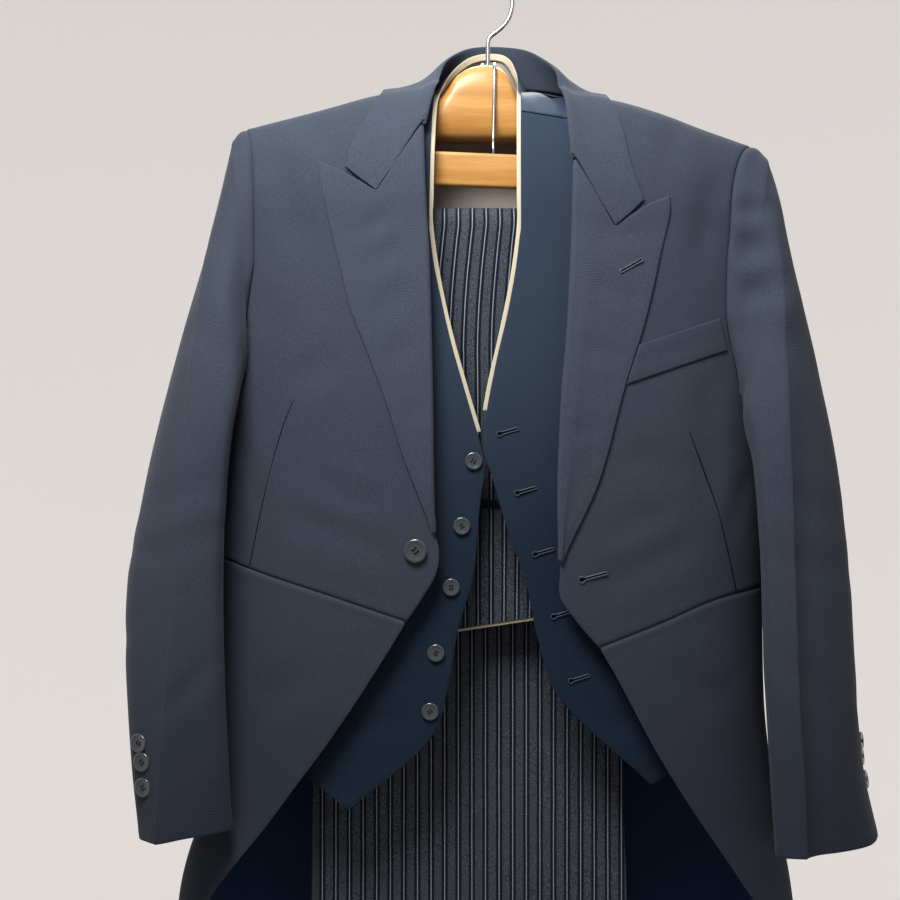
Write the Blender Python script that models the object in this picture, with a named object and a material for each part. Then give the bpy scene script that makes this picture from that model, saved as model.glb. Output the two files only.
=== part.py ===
"""Morning suit on a wooden hanger: tail coat, waistcoat and striped trousers.

Sizes are in millimetres and become metres when a mesh is made. The origin is the point where
the hanger's hook bears on its rod. +X runs to the viewer's right, +Y to the garment's back and
+Z up. The ending _R is the wearer's right, which is the viewer's left (X below zero).
"""
import bisect
import functools
import math

import bpy
import numpy as np

MM = 0.001
SEAM_GAP = 0.3
RIDGE_GAP = 0.35
COAT_WALL = 1.6
SLEEVE_WALL = 1.4
VEST_WALL = 1.4
LINING_WALL = 1.0
SECTION_POWER = 2.6
YOKE_Z = -230.0
YOKE_SHARE = 0.35
SIDES = {"R": -1.0, "L": 1.0}

# ---------------------------------------------------------------- driving tables
# Body sections: z, half width, front depth, back depth, centre x
COAT_SECTIONS = (
    (-230, 236, 73, 66, 1), (-300, 238, 80, 68, 1), (-400, 240, 86, 68, 2), (-500, 241, 87, 64, 2),
    (-566, 241, 85, 62, 2), (-650, 244, 83, 64, 2), (-742, 257, 82, 70, 0), (-800, 270, 84, 74, -3),
    (-900, 282, 84, 78, -4), (-1070, 292, 82, 80, -4),
)
VEST_SECTIONS = (
    (-230, 214, 60, 47, -4), (-300, 218, 65, 48, -4), (-400, 222, 69, 48, -4), (-500, 222, 70, 46, -4),
    (-600, 222, 68, 46, -4), (-740, 226, 64, 48, -4),
)
# Shoulder ridges from the neck to the tip: x, z
COAT_RIDGE = {
    "R": ((-64, -100), (-92, -103), (-143, -116), (-170, -123), (-219, -135)),
    "L": ((76, -103.5), (101, -107), (153, -121), (189, -134), (236, -150)),
}
VEST_RIDGE = {
    "R": ((-47, -100.5), (-64, -103.6), (-92, -106.4), (-143, -119.2), (-158, -123.2)),
    "L": ((29, -101), (50, -104.5), (76, -107.4), (101, -110.4), (153, -124.2), (166, -128.6)),
}
# Inner edge of each forepart: z, x (roll line down to the break, then the cut-away edge)
COAT_EDGE = {
    "R": ((-100, -64), (-145, -60), (-195, -58), (-269, -54), (-380, -51), (-463, -50), (-493, -49),
          (-514, -43), (-531, -50), (-566, -72)),
    "L": ((-103.5, 76), (-176, 72), (-253, 69), (-321, 65), (-380, 60), (-463, 57), (-518, 58),
          (-539, 57), (-588, 91)),
}
# Armhole on the front: z, x; below it the forepart ends at the side seam
COAT_ARMHOLE = {
    "R": ((-135, -219), (-186, -207), (-214, -205), (-258, -205), (-292, -210), (-343, -218)),
    "L": ((-150, 236), (-186, 218), (-215, 211), (-253, 206), (-308, 204), (-340, 210), (-370, 219)),
}
UNDERARM_Z = {"R": -388.0, "L": -410.0}
SIDE_SEAM_TURN = 0.92
# Heights of the forepart's grid lines over the underarm
FRONT_ROWS = (125, 90, 60, 40, 26, 14, 6, 0, -35, -75)
TURN_GAP = 0.0025
CENTRE_GAP = 0.0004
SIDE_BODY_RISE = 125.0
PLEAT_TURN = 1.69
# Back armhole and side-back seam: height above the underarm, turn round the body
BACK_ARMHOLE = ((300, 1.27), (202, 1.38), (130, 1.37), (45, 1.27), (15, 1.12), (2, 0.96))
BACK_SEAM = ((130, 1.37), (80, 1.43), (0, 1.53), (-130, 1.66), (-160, 1.68), (-700, 1.70))
# Waist seam from the front edge to the side: x, z
WAIST_SEAM = {
    "R": ((-72, -566), (-143, -543), (-194, -528), (-240, -514)),
    "L": ((91, -588), (142, -569), (194, -549), (240, -540)),
}
# Cut-away edge of the skirt on the front: x, z; then round the body: turn, z
SKIRT_FRONT = {
    "R": ((-72, -566), (-102, -615), (-136, -666), (-158, -696), (-196, -748), (-237, -800)),
    "L": ((91, -588), (116, -632), (143, -683), (177, -736), (199, -768), (221, -801)),
}
SKIRT_ROUND = ((0.80, -868), (1.00, -935), (1.20, -990), (1.40, -1032), (1.55, -1052), (1.75, -1063))
# Turns of the skirt's grid lines, shared by the lining inside it
SKIRT_TURNS = (0.25, 0.40, 0.55, 0.70, 0.85, 1.0, 1.15, 1.33, 1.52)
TAIL_HEM_Z = -1066.0
SKIRT_ROWS = 10
LINING_RISE = 14.0
LINING_GAP = 2.2
# Neck seam across the back: x, y, z
COAT_NECK = ((-64, 0, -100), (-57, 26, -94.5), (-35, 50, -87), (6, 60, -83), (47, 50, -88),
             (70, 26, -98), (76, 0, -103.5))
VEST_NECK = ((-47, 0, -100.5), (-41, 14, -90), (-30, 27, -75), (-12, 38, -62), (2, 40, -59.5),
             (15, 38, -62), (25, 22, -79), (28, 10, -90), (29, 0, -101))
# Waistcoat front edge: z, x; it ends in the hem's point
VEST_EDGE = {
    "R": ((-100.5, -47), (-137, -54), (-163, -54), (-212, -54), (-250, -51), (-288, -44), (-328, -35),
          (-374, -22), (-419, -9), (-433, -6), (-469, -10), (-526, -15), (-573, -28), (-629, -38),
          (-658, -46), (-730, -122)),
    "L": ((-101, 29), (-163, 28), (-199, 28), (-255, 23), (-302, 15), (-345, 5), (-392, -4), (-416, -7),
          (-444, 1), (-489, 14), (-535, 30), (-573, 38), (-617, 50), (-626, 54), (-709, 138)),
}
# Waistcoat outer edge: z, turn (armhole, side seam, then the hem back to the point)
VEST_OUTER = {
    "R": ((-123, 0.46), (-200, 0.42), (-300, 0.50), (-380, 0.70), (-420, 0.98), (-640, 0.98),
          (-668, 0.66), (-695, 0.47), (-726, 0.35)),
    "L": ((-128, 0.50), (-200, 0.46), (-310, 0.52), (-395, 0.72), (-435, 0.98), (-640, 0.98),
          (-662, 0.75), (-689, 0.50), (-705, 0.41)),
}
VEST_ARMHOLE = {
    "R": ((-123, -158), (-200, -146), (-300, -165)),
    "L": ((-128, 166), (-200, 152), (-300, 168)),
}
VEST_UNDERARM_Z = {"R": -420.0, "L": -435.0}
VEST_BACK_ARMHOLE = ((-123, 1.54), (-230, 1.50), (-330, 1.42), (-400, 1.20), (-430, 1.02), (-640, 1.02))
VEST_LAP = 3.4
VEST_BACK_HEM_Z = -640.0
SLIP_WALL = 0.8
SLIP_GAP = 0.95
SLIP_UNDER = 6.0
SLIP_SHOW = 3.6
# Lapel outline: gorge, notch, tip, then the outer edge down to the break: x, z
LAPEL_TOP = {
    "R": ((-57, -145.6), (-96, -201.6), (-125, -184.8), (-148, -174)),
    "L": ((69, -176.6), (103, -231.6), (131, -213.8), (152, -205)),
}
LAPEL_OUTER = {
    "R": ((-148, -174), (-143, -203), (-131, -254), (-118, -305), (-108, -330), (-89, -380),
          (-73, -430), (-60, -463), (-49, -492)),
    "L": ((152, -205), (153, -209), (143, -258), (130, -312), (113, -365), (90, -447), (65, -501),
          (58.5, -516)),
}
LAPEL_ROLL = 2.1
LAPEL_LIFT = 2.45
LAPEL_TOP_SHARES = (0.0, 0.52, 0.8, 1.0)
# Rise of the lapel over its flat lie: share of its width, rise
LAPEL_CROWN = ((0.0, 2.1), (0.2, 2.6), (0.36, 1.6), (0.52, 0.9), (0.8, 0.3), (1.0, 0.0))
# Collar on the foreparts, from the gorge up to the shoulder: base z, roll x, lift, edge x, z
COLLAR_FRONT = {
    "R": ((-134, -54, 3.0, -120, -162), (-120, -51, 4.5, -107, -134), (-108, -48, 5.5, -99, -116),
          (-102.2, -46, 6.0, -95, -107)),
    "L": ((-160, 67.5, 3.0, 119, -176), (-142, 66, 4.0, 115, -152), (-124, 65, 4.5, 111, -134),
          (-112, 63, 5.5, 107, -119), (-106, 61.5, 6.0, 104.5, -111)),
}
# Collar round the neck: roll x, y, z, then fall edge x, y, z, then stand base x, y, z
COLLAR_BACK = (
    (-45, 0, -86, -93, -3, -100.4, -64, -0.5, -98.9),
    (-38, 27, -66, -83, 40, -106, -57, 26, -93.4),
    (-19, 48, -51, -46, 66, -104, -35, 49.6, -85.9),
    (7, 55, -47, 6, 71, -101, 6, 59.5, -81.9),
    (35, 48, -52, 58, 66, -106, 47, 49.6, -86.9),
    (53, 27, -67, 94, 40, -110, 70, 26, -96.9),
    (60, 0, -82, 103, -3, -104.8, 76, -0.5, -102.4),
)
# Collar's end on the gorge seam: at the roll, between, the notch and the fall's corner: x, z
COLLAR_END = {
    "R": ((-60, -142.0), (-78.0, -171.0), (-97.8, -200.0), (-123.4, -180.2)),
    "L": ((72, -172.8), (86.8, -199.6), (105.0, -229.8), (129.4, -209.0)),
}
END_ROLL = 4.0
FALL_LIFT = 2.5
STAND_LIFT = 0.5
COLLAR_WALL = 1.8
# Sleeve rings: outer z, inner z, then x, y at the outer side, front outer, front crease, front inner,
# inner side, back inner, back and back outer
SLEEVE_RINGS = {
    "R": (
        (-146, -392, -230, -1, -222, -40, -211, -56, -211, -56, -240.6, -4, -240, 38, -218, 54, -226, 36),
        (-171, -394, -235, -3, -229, -42, -217, -66, -212, -62, -241.5, -8, -243, 38, -228, 58, -234, 38),
        (-234, -402, -249, -6, -241, -52, -226, -80, -213, -76, -242, -8, -246, 36, -246, 58, -252, 35),
        (-324, -425, -274, -12, -261, -62, -238, -92, -218, -84, -243, -10, -250, 34, -262, 54, -276, 30),
        (-422, -470, -297, -20, -282, -70, -250, -98, -223, -86, -245, -12, -256, 30, -276, 46, -296, 22),
        (-520, -530, -314, -32, -300, -78, -259, -101, -226, -86, -246, -15, -262, 24, -285, 36, -308, 12),
        (-600, -600, -314, -44, -302, -86, -266, -103, -225, -84, -248, -18, -263, 18, -285, 28, -306, 2),
        (-680, -680, -305, -56, -299, -91, -270, -104, -222, -78, -252, -26, -264, 10, -282, 18, -300, -10),
        (-748, -742, -297, -64, -292, -92, -268, -103, -219, -68, -256, -33, -267, 2, -281, 8, -293, -20),
    ),
    "L": (
        (-161, -412, 249, -1, 237, -42, 221, -58, 214, -56, 243.4, -4, 243, 38, 232, 54, 245, 36),
        (-190, -414, 257, -3, 249, -44, 232, -68, 216, -62, 244.4, -8, 247, 38, 246, 58, 256, 38),
        (-250, -420, 268, -5, 260, -52, 240, -80, 213, -74, 245.4, -8, 250, 36, 260, 56, 270, 34),
        (-340, -440, 288, -8, 277, -60, 247, -92, 219, -82, 246.4, -10, 254, 34, 272, 52, 288, 30),
        (-430, -480, 304, -12, 292, -68, 249, -98, 223, -87, 247.5, -12, 258, 30, 280, 46, 302, 22),
        (-530, -530, 314, -20, 300, -74, 250, -101, 226, -88, 249, -14, 262, 24, 286, 38, 308, 14),
        (-610, -610, 319, -24, 303, -78, 253, -102, 228, -88, 252, -18, 268, 16, 290, 30, 312, 6),
        (-690, -690, 325, -28, 307, -80, 259, -101, 233, -86, 258, -24, 272, 10, 295, 24, 318, 0),
        (-753, -765, 337, -34, 318, -80, 260, -98, 239, -80, 265, -28, 279, 4, 300, 16, 328, -6),
    ),
}
# Sleeve seams as eighths of the ring, from the outer side over the front
FRONT_SEAM_EIGHTH = 3.0
BACK_SEAM_EIGHTH = 6.5
SLEEVE_SEAM_GAP = 0.008
ARMHOLE_GAP = 0.6
CROWN_GAP = 2.0
SLEEVE_CLEAR = 3.1
# Chest welt corners on the wearer's left: x, z
WELT = ((196, -309), (202, -336))
WELT_AT_LAPEL_Z = (-333, -366)
WELT_WALL = 1.1
# Buttons: x, z
COAT_BUTTON = (-64, -506)
CUFF_BUTTONS = {
    "R": ((-295, -667), (-292, -686), (-289, -705)),
    "L": ((322, -673), (326, -695), (330, -716)),
}
VEST_BUTTONS = ((-15, -431), (-25, -486), (-34, -538), (-47, -594), (-52, -644))
BACK_BUTTON_TURN = 1.63
COAT_BUTTON_D = 20.0
CUFF_BUTTON_D = 16.0
CUFF_BUTTON_SINK = {"R": 0.3, "L": -0.35}
VEST_BUTTON_D = 15.0
BUTTON_LIFT = 0.35
BUTTON_SIDES = 14
# Button section: share of the radius, height
BUTTON_PROFILE = ((0.70, 0.0), (0.97, 0.9), (1.0, 1.7), (0.93, 2.6), (0.78, 2.7), (0.58, 1.9))
# Trousers: the bar they hang on, and each leg's edges along its length from the waist to the hem:
# length, left x, right x
BAR_Y = -22.0
BAR_Z = -226.0
BAR_R = 11.0
BAR_GAP = 0.5
LEG_THICK = 2.9
LEG_FOLD = 2.2
OVER_BAR = math.pi * (BAR_R + 3.5)
WAIST_DROP = 346.0
HEM_DROP = 654.0
WAIST_SLOPE = 0.16
WAIST_MIDDLE = 6.0
LEG_EDGES = {
    "R": ((0, -112, 108), (120, -128, 122), (250, -146, 124), (360, -144, 118), (480, -146, 117),
          (900, -158, 117), (1040, -160, 121)),
    "L": ((0, -112, 106), (120, -130, 120), (250, -148, 122), (360, -146, 116), (480, -150, 116),
          (900, -151, 120), (1040, -152, 125)),
}
POCKET = (-104, 34, -465, -472)
# Wooden hanger: x, top z, bottom z, half depth, squareness of the section (2 is round)
HANGER = (
    (-186, -134.4, -156, 10, 2.2), (-180, -130.9, -158, 12, 2.2), (-143, -121.8, -152, 13, 2.2),
    (-92, -108.9, -146, 13, 2.2), (-64, -107.8, -146, 14, 2.2), (-45, -108, -146, 17, 2.6),
    (-37, -99.5, -146, 18, 3.2), (-29, -87.5, -146, 18, 3.4), (-16, -80, -146, 18, 3.4),
    (-4, -78, -146, 18, 3.4), (8, -80, -146.5, 18, 3.4), (17, -88.5, -146.5, 18, 3.4),
    (22, -99, -147, 18, 3.2), (27, -108.5, -147, 17, 2.6), (50, -109.5, -147, 14, 2.2),
    (76, -111.4, -147, 13, 2.2), (101, -112.9, -149, 13, 2.2), (153, -127.3, -162, 13, 2.2),
    (196, -146, -170, 11, 2.2), (203, -150, -168, 8, 2.2),
)
HOOK_WIRE_R = 2.0
HOOK_CENTRE = (-1.0, -20.0)
HOOK_R = 22.0
HOOK_TIP_TURN = 200.0
WIRE_R = 1.5
RAIL = (-156.0, 130.0)
RAIL_Y = -28.5
RAIL_THICK = 10.0
RAIL_Z = -174.5
RAIL_SLOPE = -0.045
RAIL_TALL = 30.0
LINK_THICK = 4.0


# ---------------------------------------------------------------- reading the tables
@functools.lru_cache(maxsize=None)
def cubic(rows, column):
    """Keys, values and monotone tangents of one column of a table."""
    rows = sorted(rows)
    keys = [float(row[0]) for row in rows]
    values = [float(row[column]) for row in rows]
    slopes = [(values[i + 1] - values[i]) / (keys[i + 1] - keys[i]) for i in range(len(keys) - 1)]
    tangents = [slopes[0]]
    for before, after in zip(slopes, slopes[1:]):
        tangents.append(0.0 if before * after <= 0 else 2 * before * after / (before + after))
    return keys, values, tangents + [slopes[-1]]


def track(rows, column, at):
    """Read a column at a key (first column) with a monotone cubic, held past the ends."""
    keys, values, tangents = cubic(rows, column)
    if at <= keys[0]:
        return values[0]
    if at >= keys[-1]:
        return values[-1]
    k = bisect.bisect_right(keys, at) - 1
    step = keys[k + 1] - keys[k]
    t = (at - keys[k]) / step
    return (values[k] * (1 + 2 * t) * (1 - t) ** 2 + tangents[k] * step * t * (1 - t) ** 2
            + values[k + 1] * t * t * (3 - 2 * t) - tangents[k + 1] * step * t * t * (1 - t))


@functools.lru_cache(maxsize=None)
def measured(points):
    """The points of an open line, each after its distance along the line."""
    runs = [0.0]
    for a, b in zip(points, points[1:]):
        runs.append(runs[-1] + math.dist(a, b))
    return tuple((run, *point) for run, point in zip(runs, points))


def along(points, share):
    """Point at a share 0..1 of an open line's length, on a smooth curve through its points."""
    rows = measured(points)
    return np.array([track(rows, c, share * rows[-1][0]) for c in range(1, len(rows[0]))])


def spread(start, end, count):
    return [start + (end - start) * i / (count - 1) for i in range(count)]


def mix(a, b, share):
    return a + (b - a) * share


# ---------------------------------------------------------------- body surfaces
class Body:
    """A rounded body section that closes into the shoulders above the yoke."""

    def __init__(self, sections, ridge, edge, armhole, underarm):
        self.sections = sections
        self.ridge = ridge
        self.edge = edge
        self.armhole = armhole
        self.underarm = underarm

    def turn(self, side, x, z):
        """Turn on the front (0 at the centre, 1 at the side) that lies at x."""
        half, centre = track(self.sections, 1, z), track(self.sections, 4, z)
        share = (x - centre) * SIDES[side] / half
        grown = min(abs(share), 1.0) ** (SECTION_POWER / 2)
        return math.copysign(math.asin(grown) * 2 / math.pi, share)

    def ring(self, side, turn, z):
        """Point of the section at height z; a turn of 1 is the side and 2 the back's centre."""
        half, front, back, centre = [track(self.sections, c, z) for c in (1, 2, 3, 4)]
        sine, cosine = math.sin(turn * math.pi / 2), math.cos(turn * math.pi / 2)
        power = 2 / SECTION_POWER
        x = centre + SIDES[side] * half * math.copysign(abs(sine) ** power, sine)
        y = -math.copysign((front if cosine > 0 else back) * abs(cosine) ** power, cosine)
        return np.array((x, y, z))

    def inner(self, side, z):
        return self.turn(side, track(self.edge[side], 1, z), z)

    def outer(self, side, z):
        """Turn of the forepart's outer edge: armhole, then side seam."""
        rows = self.armhole[side]
        low_z, low_x = rows[-1]
        if z >= low_z:
            return self.turn(side, track(rows, 1, z), z)
        under = ((self.underarm[side], SIDE_SEAM_TURN), (low_z, self.turn(side, low_x, low_z)))
        return track(under, 1, z)

    def yoke(self, top, low, angle):
        """Quarter ellipse from a point on the ridge or neck down to one on the yoke section."""
        sine, cosine = math.sin(angle), math.cos(angle)
        return np.array((*mix(top[:2], low[:2], sine), mix(low[2], top[2], cosine)))

    def front_yoke(self, side, u, angle):
        rows = self.ridge[side]
        top_x = mix(rows[0][0], rows[-1][0], u)
        top = np.array((top_x, -RIDGE_GAP, track(rows, 1, top_x)))
        turn = mix(self.inner(side, YOKE_Z), self.outer(side, YOKE_Z), u)
        return self.yoke(top, self.ring(side, turn, YOKE_Z), angle)

    def skin(self, side, x, z, lift=0.0):
        """Front surface under (x, z) moved out along its normal by lift, and that normal."""
        def depth(px, pz):
            if pz <= YOKE_Z:
                return self.ring(side, self.turn(side, px, pz), pz)[1]
            lo, hi = -0.2, 1.2
            for _ in range(24):
                u = (lo + hi) / 2
                rows = self.ridge[side]
                top_z = track(rows, 1, mix(rows[0][0], rows[-1][0], u))
                angle = math.acos(min((pz - YOKE_Z) / (top_z - YOKE_Z), 1.0))
                point = self.front_yoke(side, u, angle)
                if (point[0] - px) * SIDES[side] < 0:
                    lo = u
                else:
                    hi = u
            return point[1]

        slope_x = (depth(x + 1, z) - depth(x - 1, z)) / 2
        slope_z = (depth(x, z + 1) - depth(x, z - 1)) / 2
        normal = np.array((slope_x, -1.0, slope_z))
        normal /= np.linalg.norm(normal)
        return np.array((x, depth(x, z), z)) + normal * lift, normal

    def clear(self, point, lift):
        """Move a point out of the section, so that it lies at least lift outside it."""
        half, front, back, centre = [track(self.sections, c, point[2]) for c in (1, 2, 3, 4)]
        x, y = point[0] - centre, point[1]
        depth = front if y < 0 else back
        share = (abs(x / half) ** SECTION_POWER + abs(y / depth) ** SECTION_POWER) ** (1 / SECTION_POWER)
        least = 1 + lift / math.hypot(x, y)
        if share >= least:
            return point
        return np.array((centre + x * least / share, y * least / share, point[2]))


COAT = Body(COAT_SECTIONS, COAT_RIDGE, COAT_EDGE, COAT_ARMHOLE, UNDERARM_Z)
VEST = Body(VEST_SECTIONS, VEST_RIDGE, VEST_EDGE, VEST_ARMHOLE, VEST_UNDERARM_Z)


# ---------------------------------------------------------------- mesh makers
def material(name, colour, roughness, metallic=0.0):
    mat = bpy.data.materials.new(name)
    mat.use_nodes = True
    shader = mat.node_tree.nodes["Principled BSDF"]
    shader.inputs["Base Color"].default_value = (*colour, 1.0)
    shader.inputs["Roughness"].default_value = roughness
    shader.inputs["Metallic"].default_value = metallic
    return mat


def solid(name, points, faces, mat, crease=40.0):
    mesh = bpy.data.meshes.new(name)
    mesh.from_pydata([tuple(np.array(p) * MM) for p in points], [], faces)
    mesh.validate()
    mesh.materials.append(mat)
    mesh.shade_smooth()
    mesh.set_sharp_from_angle(angle=math.radians(crease))
    obj = bpy.data.objects.new(name, mesh)
    bpy.context.scene.collection.objects.link(obj)
    return obj


def surface_grid(surface, us, vs):
    """Points and unit normals of surface(u, v); each normal is read from the surface close by."""
    near = 1e-3
    points, normals = [], []
    for u in us:
        points.append([surface(u, v) for v in vs])
        row = []
        for v in vs:
            way_u = surface(min(u + near, us[-1]), v) - surface(max(u - near, us[0]), v)
            way_v = surface(u, min(v + near, vs[-1])) - surface(u, max(v - near, vs[0]))
            normal = np.cross(way_u, way_v)
            row.append(normal / np.linalg.norm(normal))
        normals.append(row)
    return np.array(points), np.array(normals)


def wall(name, surface, us, vs, thick, mat, outward):
    """Closed cloth wall whose outer side is surface(u, v); outward is a way near its middle."""
    grid, normals = surface_grid(surface, us, vs)
    count, width = grid.shape[:2]
    if np.dot(normals[count // 2, width // 2], outward) < 0:
        normals = -normals
    inner = grid - normals * thick
    points = list(grid.reshape(-1, 3)) + list(inner.reshape(-1, 3))
    base = count * width

    def at(i, j, layer=0):
        return layer * base + i * width + j

    faces = []
    for i in range(count - 1):
        for j in range(width - 1):
            faces.append((at(i, j), at(i + 1, j), at(i + 1, j + 1), at(i, j + 1)))
            faces.append((at(i, j, 1), at(i, j + 1, 1), at(i + 1, j + 1, 1), at(i + 1, j, 1)))
        faces.append((at(i, 0), at(i, 0, 1), at(i + 1, 0, 1), at(i + 1, 0)))
        last = width - 1
        faces.append((at(i, last), at(i + 1, last), at(i + 1, last, 1), at(i, last, 1)))
    for j in range(width - 1):
        last = count - 1
        faces.append((at(0, j), at(0, j + 1), at(0, j + 1, 1), at(0, j, 1)))
        faces.append((at(last, j), at(last, j, 1), at(last, j + 1, 1), at(last, j + 1)))
    i, j = count // 2 - 1, width // 2 - 1
    across = np.cross(grid[i + 1, j] - grid[i, j], grid[i, j + 1] - grid[i, j])
    if np.dot(across, normals[i, j]) < 0:
        faces = [face[::-1] for face in faces]
    return solid(name, points, faces, mat)


def through(rows):
    """Surface through rows of points that runs straight between them, u and v in steps."""
    rows = np.array(rows, float)

    def surface(u, v):
        i = min(int(u), rows.shape[0] - 2)
        j = min(int(v), rows.shape[1] - 2)
        return mix(mix(rows[i, j], rows[i + 1, j], u - i), mix(rows[i, j + 1], rows[i + 1, j + 1], u - i),
                   v - j)

    return surface, list(range(rows.shape[0])), list(range(rows.shape[1]))


def tube(name, rings, mat, crease=40.0):
    """Closed solid through rings of points, with flat ends."""
    rings = np.array(rings, float)
    count, width = rings.shape[:2]
    faces = []
    for i in range(count - 1):
        for j in range(width):
            k = (j + 1) % width
            faces.append((i * width + j, i * width + k, (i + 1) * width + k, (i + 1) * width + j))
    faces.append(tuple(range(width))[::-1])
    faces.append(tuple((count - 1) * width + j for j in range(width)))
    spine = rings.mean(axis=1)
    arms = rings[0] - spine[0]
    if np.dot(np.cross(arms[0], arms[1]), spine[1] - spine[0]) < 0:
        faces = [face[::-1] for face in faces]
    return solid(name, list(rings.reshape(-1, 3)), faces, mat, crease)


def circle(sides):
    return [(math.cos(a), math.sin(a)) for a in spread(0, 2 * math.pi * (1 - 1 / sides), sides)]


def rod(name, path, radius, mat, sides=10):
    """Round wire through the points of a path."""
    path = np.array(path, float)
    ways = np.gradient(path, axis=0)
    ways /= np.linalg.norm(ways, axis=1, keepdims=True)
    across = np.cross(ways[0], (0.3, 1.0, 0.2))
    rings = []
    for point, way in zip(path, ways):
        across = across - way * np.dot(across, way)
        across /= np.linalg.norm(across)
        up = np.cross(way, across)
        rings.append([point + radius * (across * c + up * s) for c, s in circle(sides)])
    return tube(name, rings, mat)


def button(name, seat, normal, diameter, mat):
    """Turned disc with a raised rim and a dished face, its back a little off the cloth."""
    normal = np.array(normal) / np.linalg.norm(normal)
    across = np.cross(normal, (0.0, 0.0, 1.0))
    across /= np.linalg.norm(across)
    up = np.cross(across, normal)
    rings = [[seat + normal * (BUTTON_LIFT + height) + diameter / 2 * share * (across * c + up * s)
              for c, s in circle(BUTTON_SIDES)] for share, height in BUTTON_PROFILE]
    return tube(name, rings, mat)


# ---------------------------------------------------------------- coat panels
def yoke_shares(count, rest):
    """Shares down a panel: the yoke's quarter round, then even or given steps to its foot."""
    return spread(0, YOKE_SHARE, count)[:-1] + [mix(YOKE_SHARE, 1, t) for t in rest]


def waist_z(side, turn):
    x = COAT.ring(side, min(turn, 1.0), -550)[0]
    return track(WAIST_SEAM[side], 1, x)


def coat_front_point(side, u, v):
    """Forepart from the neck and front edge (u 0) to the armhole and side seam (u 1)."""
    if v < YOKE_SHARE:
        return COAT.front_yoke(side, u, v / YOKE_SHARE * math.pi / 2)
    t = (v - YOKE_SHARE) / (1 - YOKE_SHARE)
    z = YOKE_Z
    for _ in range(5):
        turn = mix(COAT.inner(side, z), COAT.outer(side, z), u)
        z = mix(YOKE_Z, waist_z(side, turn) + SEAM_GAP / 2, t)
    return COAT.ring(side, turn, z)


def coat_front(side, mat):
    us = [0, 0.16, 0.34, 0.52, 0.68, 0.82, 0.92, 1]
    foot = waist_z(side, 1.0)
    heights = [YOKE_Z] + [UNDERARM_Z[side] + rise for rise in FRONT_ROWS] + [foot]
    vs = yoke_shares(7, [(z - YOKE_Z) / (foot - YOKE_Z) for z in heights])
    wall("coat_front_" + side, lambda u, v: coat_front_point(side, u, v), us, vs, COAT_WALL, mat,
         (0, -1, 0))


def back_seam(side, z):
    return track(BACK_SEAM, 1, z - UNDERARM_Z[side])


def back_armhole(side, z):
    return track(BACK_ARMHOLE, 1, z - UNDERARM_Z[side])


def side_body(side, mat):
    under = UNDERARM_Z[side]
    foot = waist_z(side, 1.0) + SEAM_GAP / 2

    def surface(u, v):
        z = mix(under + SIDE_BODY_RISE, foot, v)
        left = back_armhole(side, z) if z > under else SIDE_SEAM_TURN
        return COAT.ring(side, mix(left + TURN_GAP, back_seam(side, z) - TURN_GAP, u), z)

    drop = under + SIDE_BODY_RISE - foot
    heights = (0, 35, 70, 100, 118, SIDE_BODY_RISE + 1, 150, 190, drop)
    wall("coat_side_" + side, surface, [0, 0.3, 0.6, 1], [h / drop for h in heights], COAT_WALL, mat,
         (SIDES[side], 0.4, 0))


def coat_back_line(side):
    """Shoulder seam from the tip to the neck, then the neck seam to the centre back."""
    ridge = COAT_RIDGE[side][:0:-1]
    neck = COAT_NECK[:4] if side == "R" else COAT_NECK[:2:-1]
    line = [(x, RIDGE_GAP, z) for x, z in ridge] + [tuple(float(c) for c in p) for p in neck]
    line[-1] = (line[-1][0] + SIDES[side] * SEAM_GAP, *line[-1][1:])
    return tuple(line)


def coat_back_point(side, u, v):
    """Back and tail from the armhole and side-back seam (u 0) to the centre back (u 1)."""
    line = coat_back_line(side)

    def turn_at(z):
        seam = back_armhole(side, z) if z > UNDERARM_Z[side] + SIDE_BODY_RISE else back_seam(side, z)
        return mix(seam + TURN_GAP, 2.0 - CENTRE_GAP, u)

    if v < YOKE_SHARE:
        low = COAT.ring(side, turn_at(YOKE_Z), YOKE_Z)
        return COAT.yoke(along(line, u), low, v / YOKE_SHARE * math.pi / 2)
    z = mix(YOKE_Z, TAIL_HEM_Z, (v - YOKE_SHARE) / (1 - YOKE_SHARE))
    return COAT.ring(side, turn_at(z), z)


def coat_back(side, mat):
    heights = (-230, -270, -310, -355, -400, -450, -500, -560, -600, -640, -680, -720, -760, -810, -870,
               -930, -1000, TAIL_HEM_Z)
    rest = [(z - YOKE_Z) / (TAIL_HEM_Z - YOKE_Z) for z in heights]
    wall("coat_back_" + side, lambda u, v: coat_back_point(side, u, v),
         [0, 0.2, 0.4, 0.56, 0.7, 0.84, 1], yoke_shares(7, rest), COAT_WALL, mat, (0, 1, 0))


def skirt_edge(side):
    """Cut-away edge as turns round the body and heights."""
    front = tuple((COAT.turn(side, x, z), z) for x, z in SKIRT_FRONT[side])
    return front + SKIRT_ROUND


def skirt_point(side, turn, v):
    """Skirt from the waist seam (v 0) to the cut-away edge (v 1); the last turn is the pleat."""
    edge = skirt_edge(side)
    top = waist_z(side, turn) - SEAM_GAP / 2
    bottom = min(track(edge, 1, turn), top - 2.0)
    z = mix(top, bottom, v)
    pleat = mix(turn, back_seam(side, z) - TURN_GAP, max(0.0, (turn - 1.4) / (PLEAT_TURN - 1.4)))
    return COAT.ring(side, pleat, z)


def coat_skirt(side, mat):
    start = skirt_edge(side)[0][0]
    turns = [start + 0.004, start + 0.05, *SKIRT_TURNS, PLEAT_TURN]
    wall("coat_skirt_" + side, lambda u, v: skirt_point(side, u, v), turns, spread(0, 1, SKIRT_ROWS),
         COAT_WALL, mat, (SIDES[side], -0.3, 0))


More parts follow.
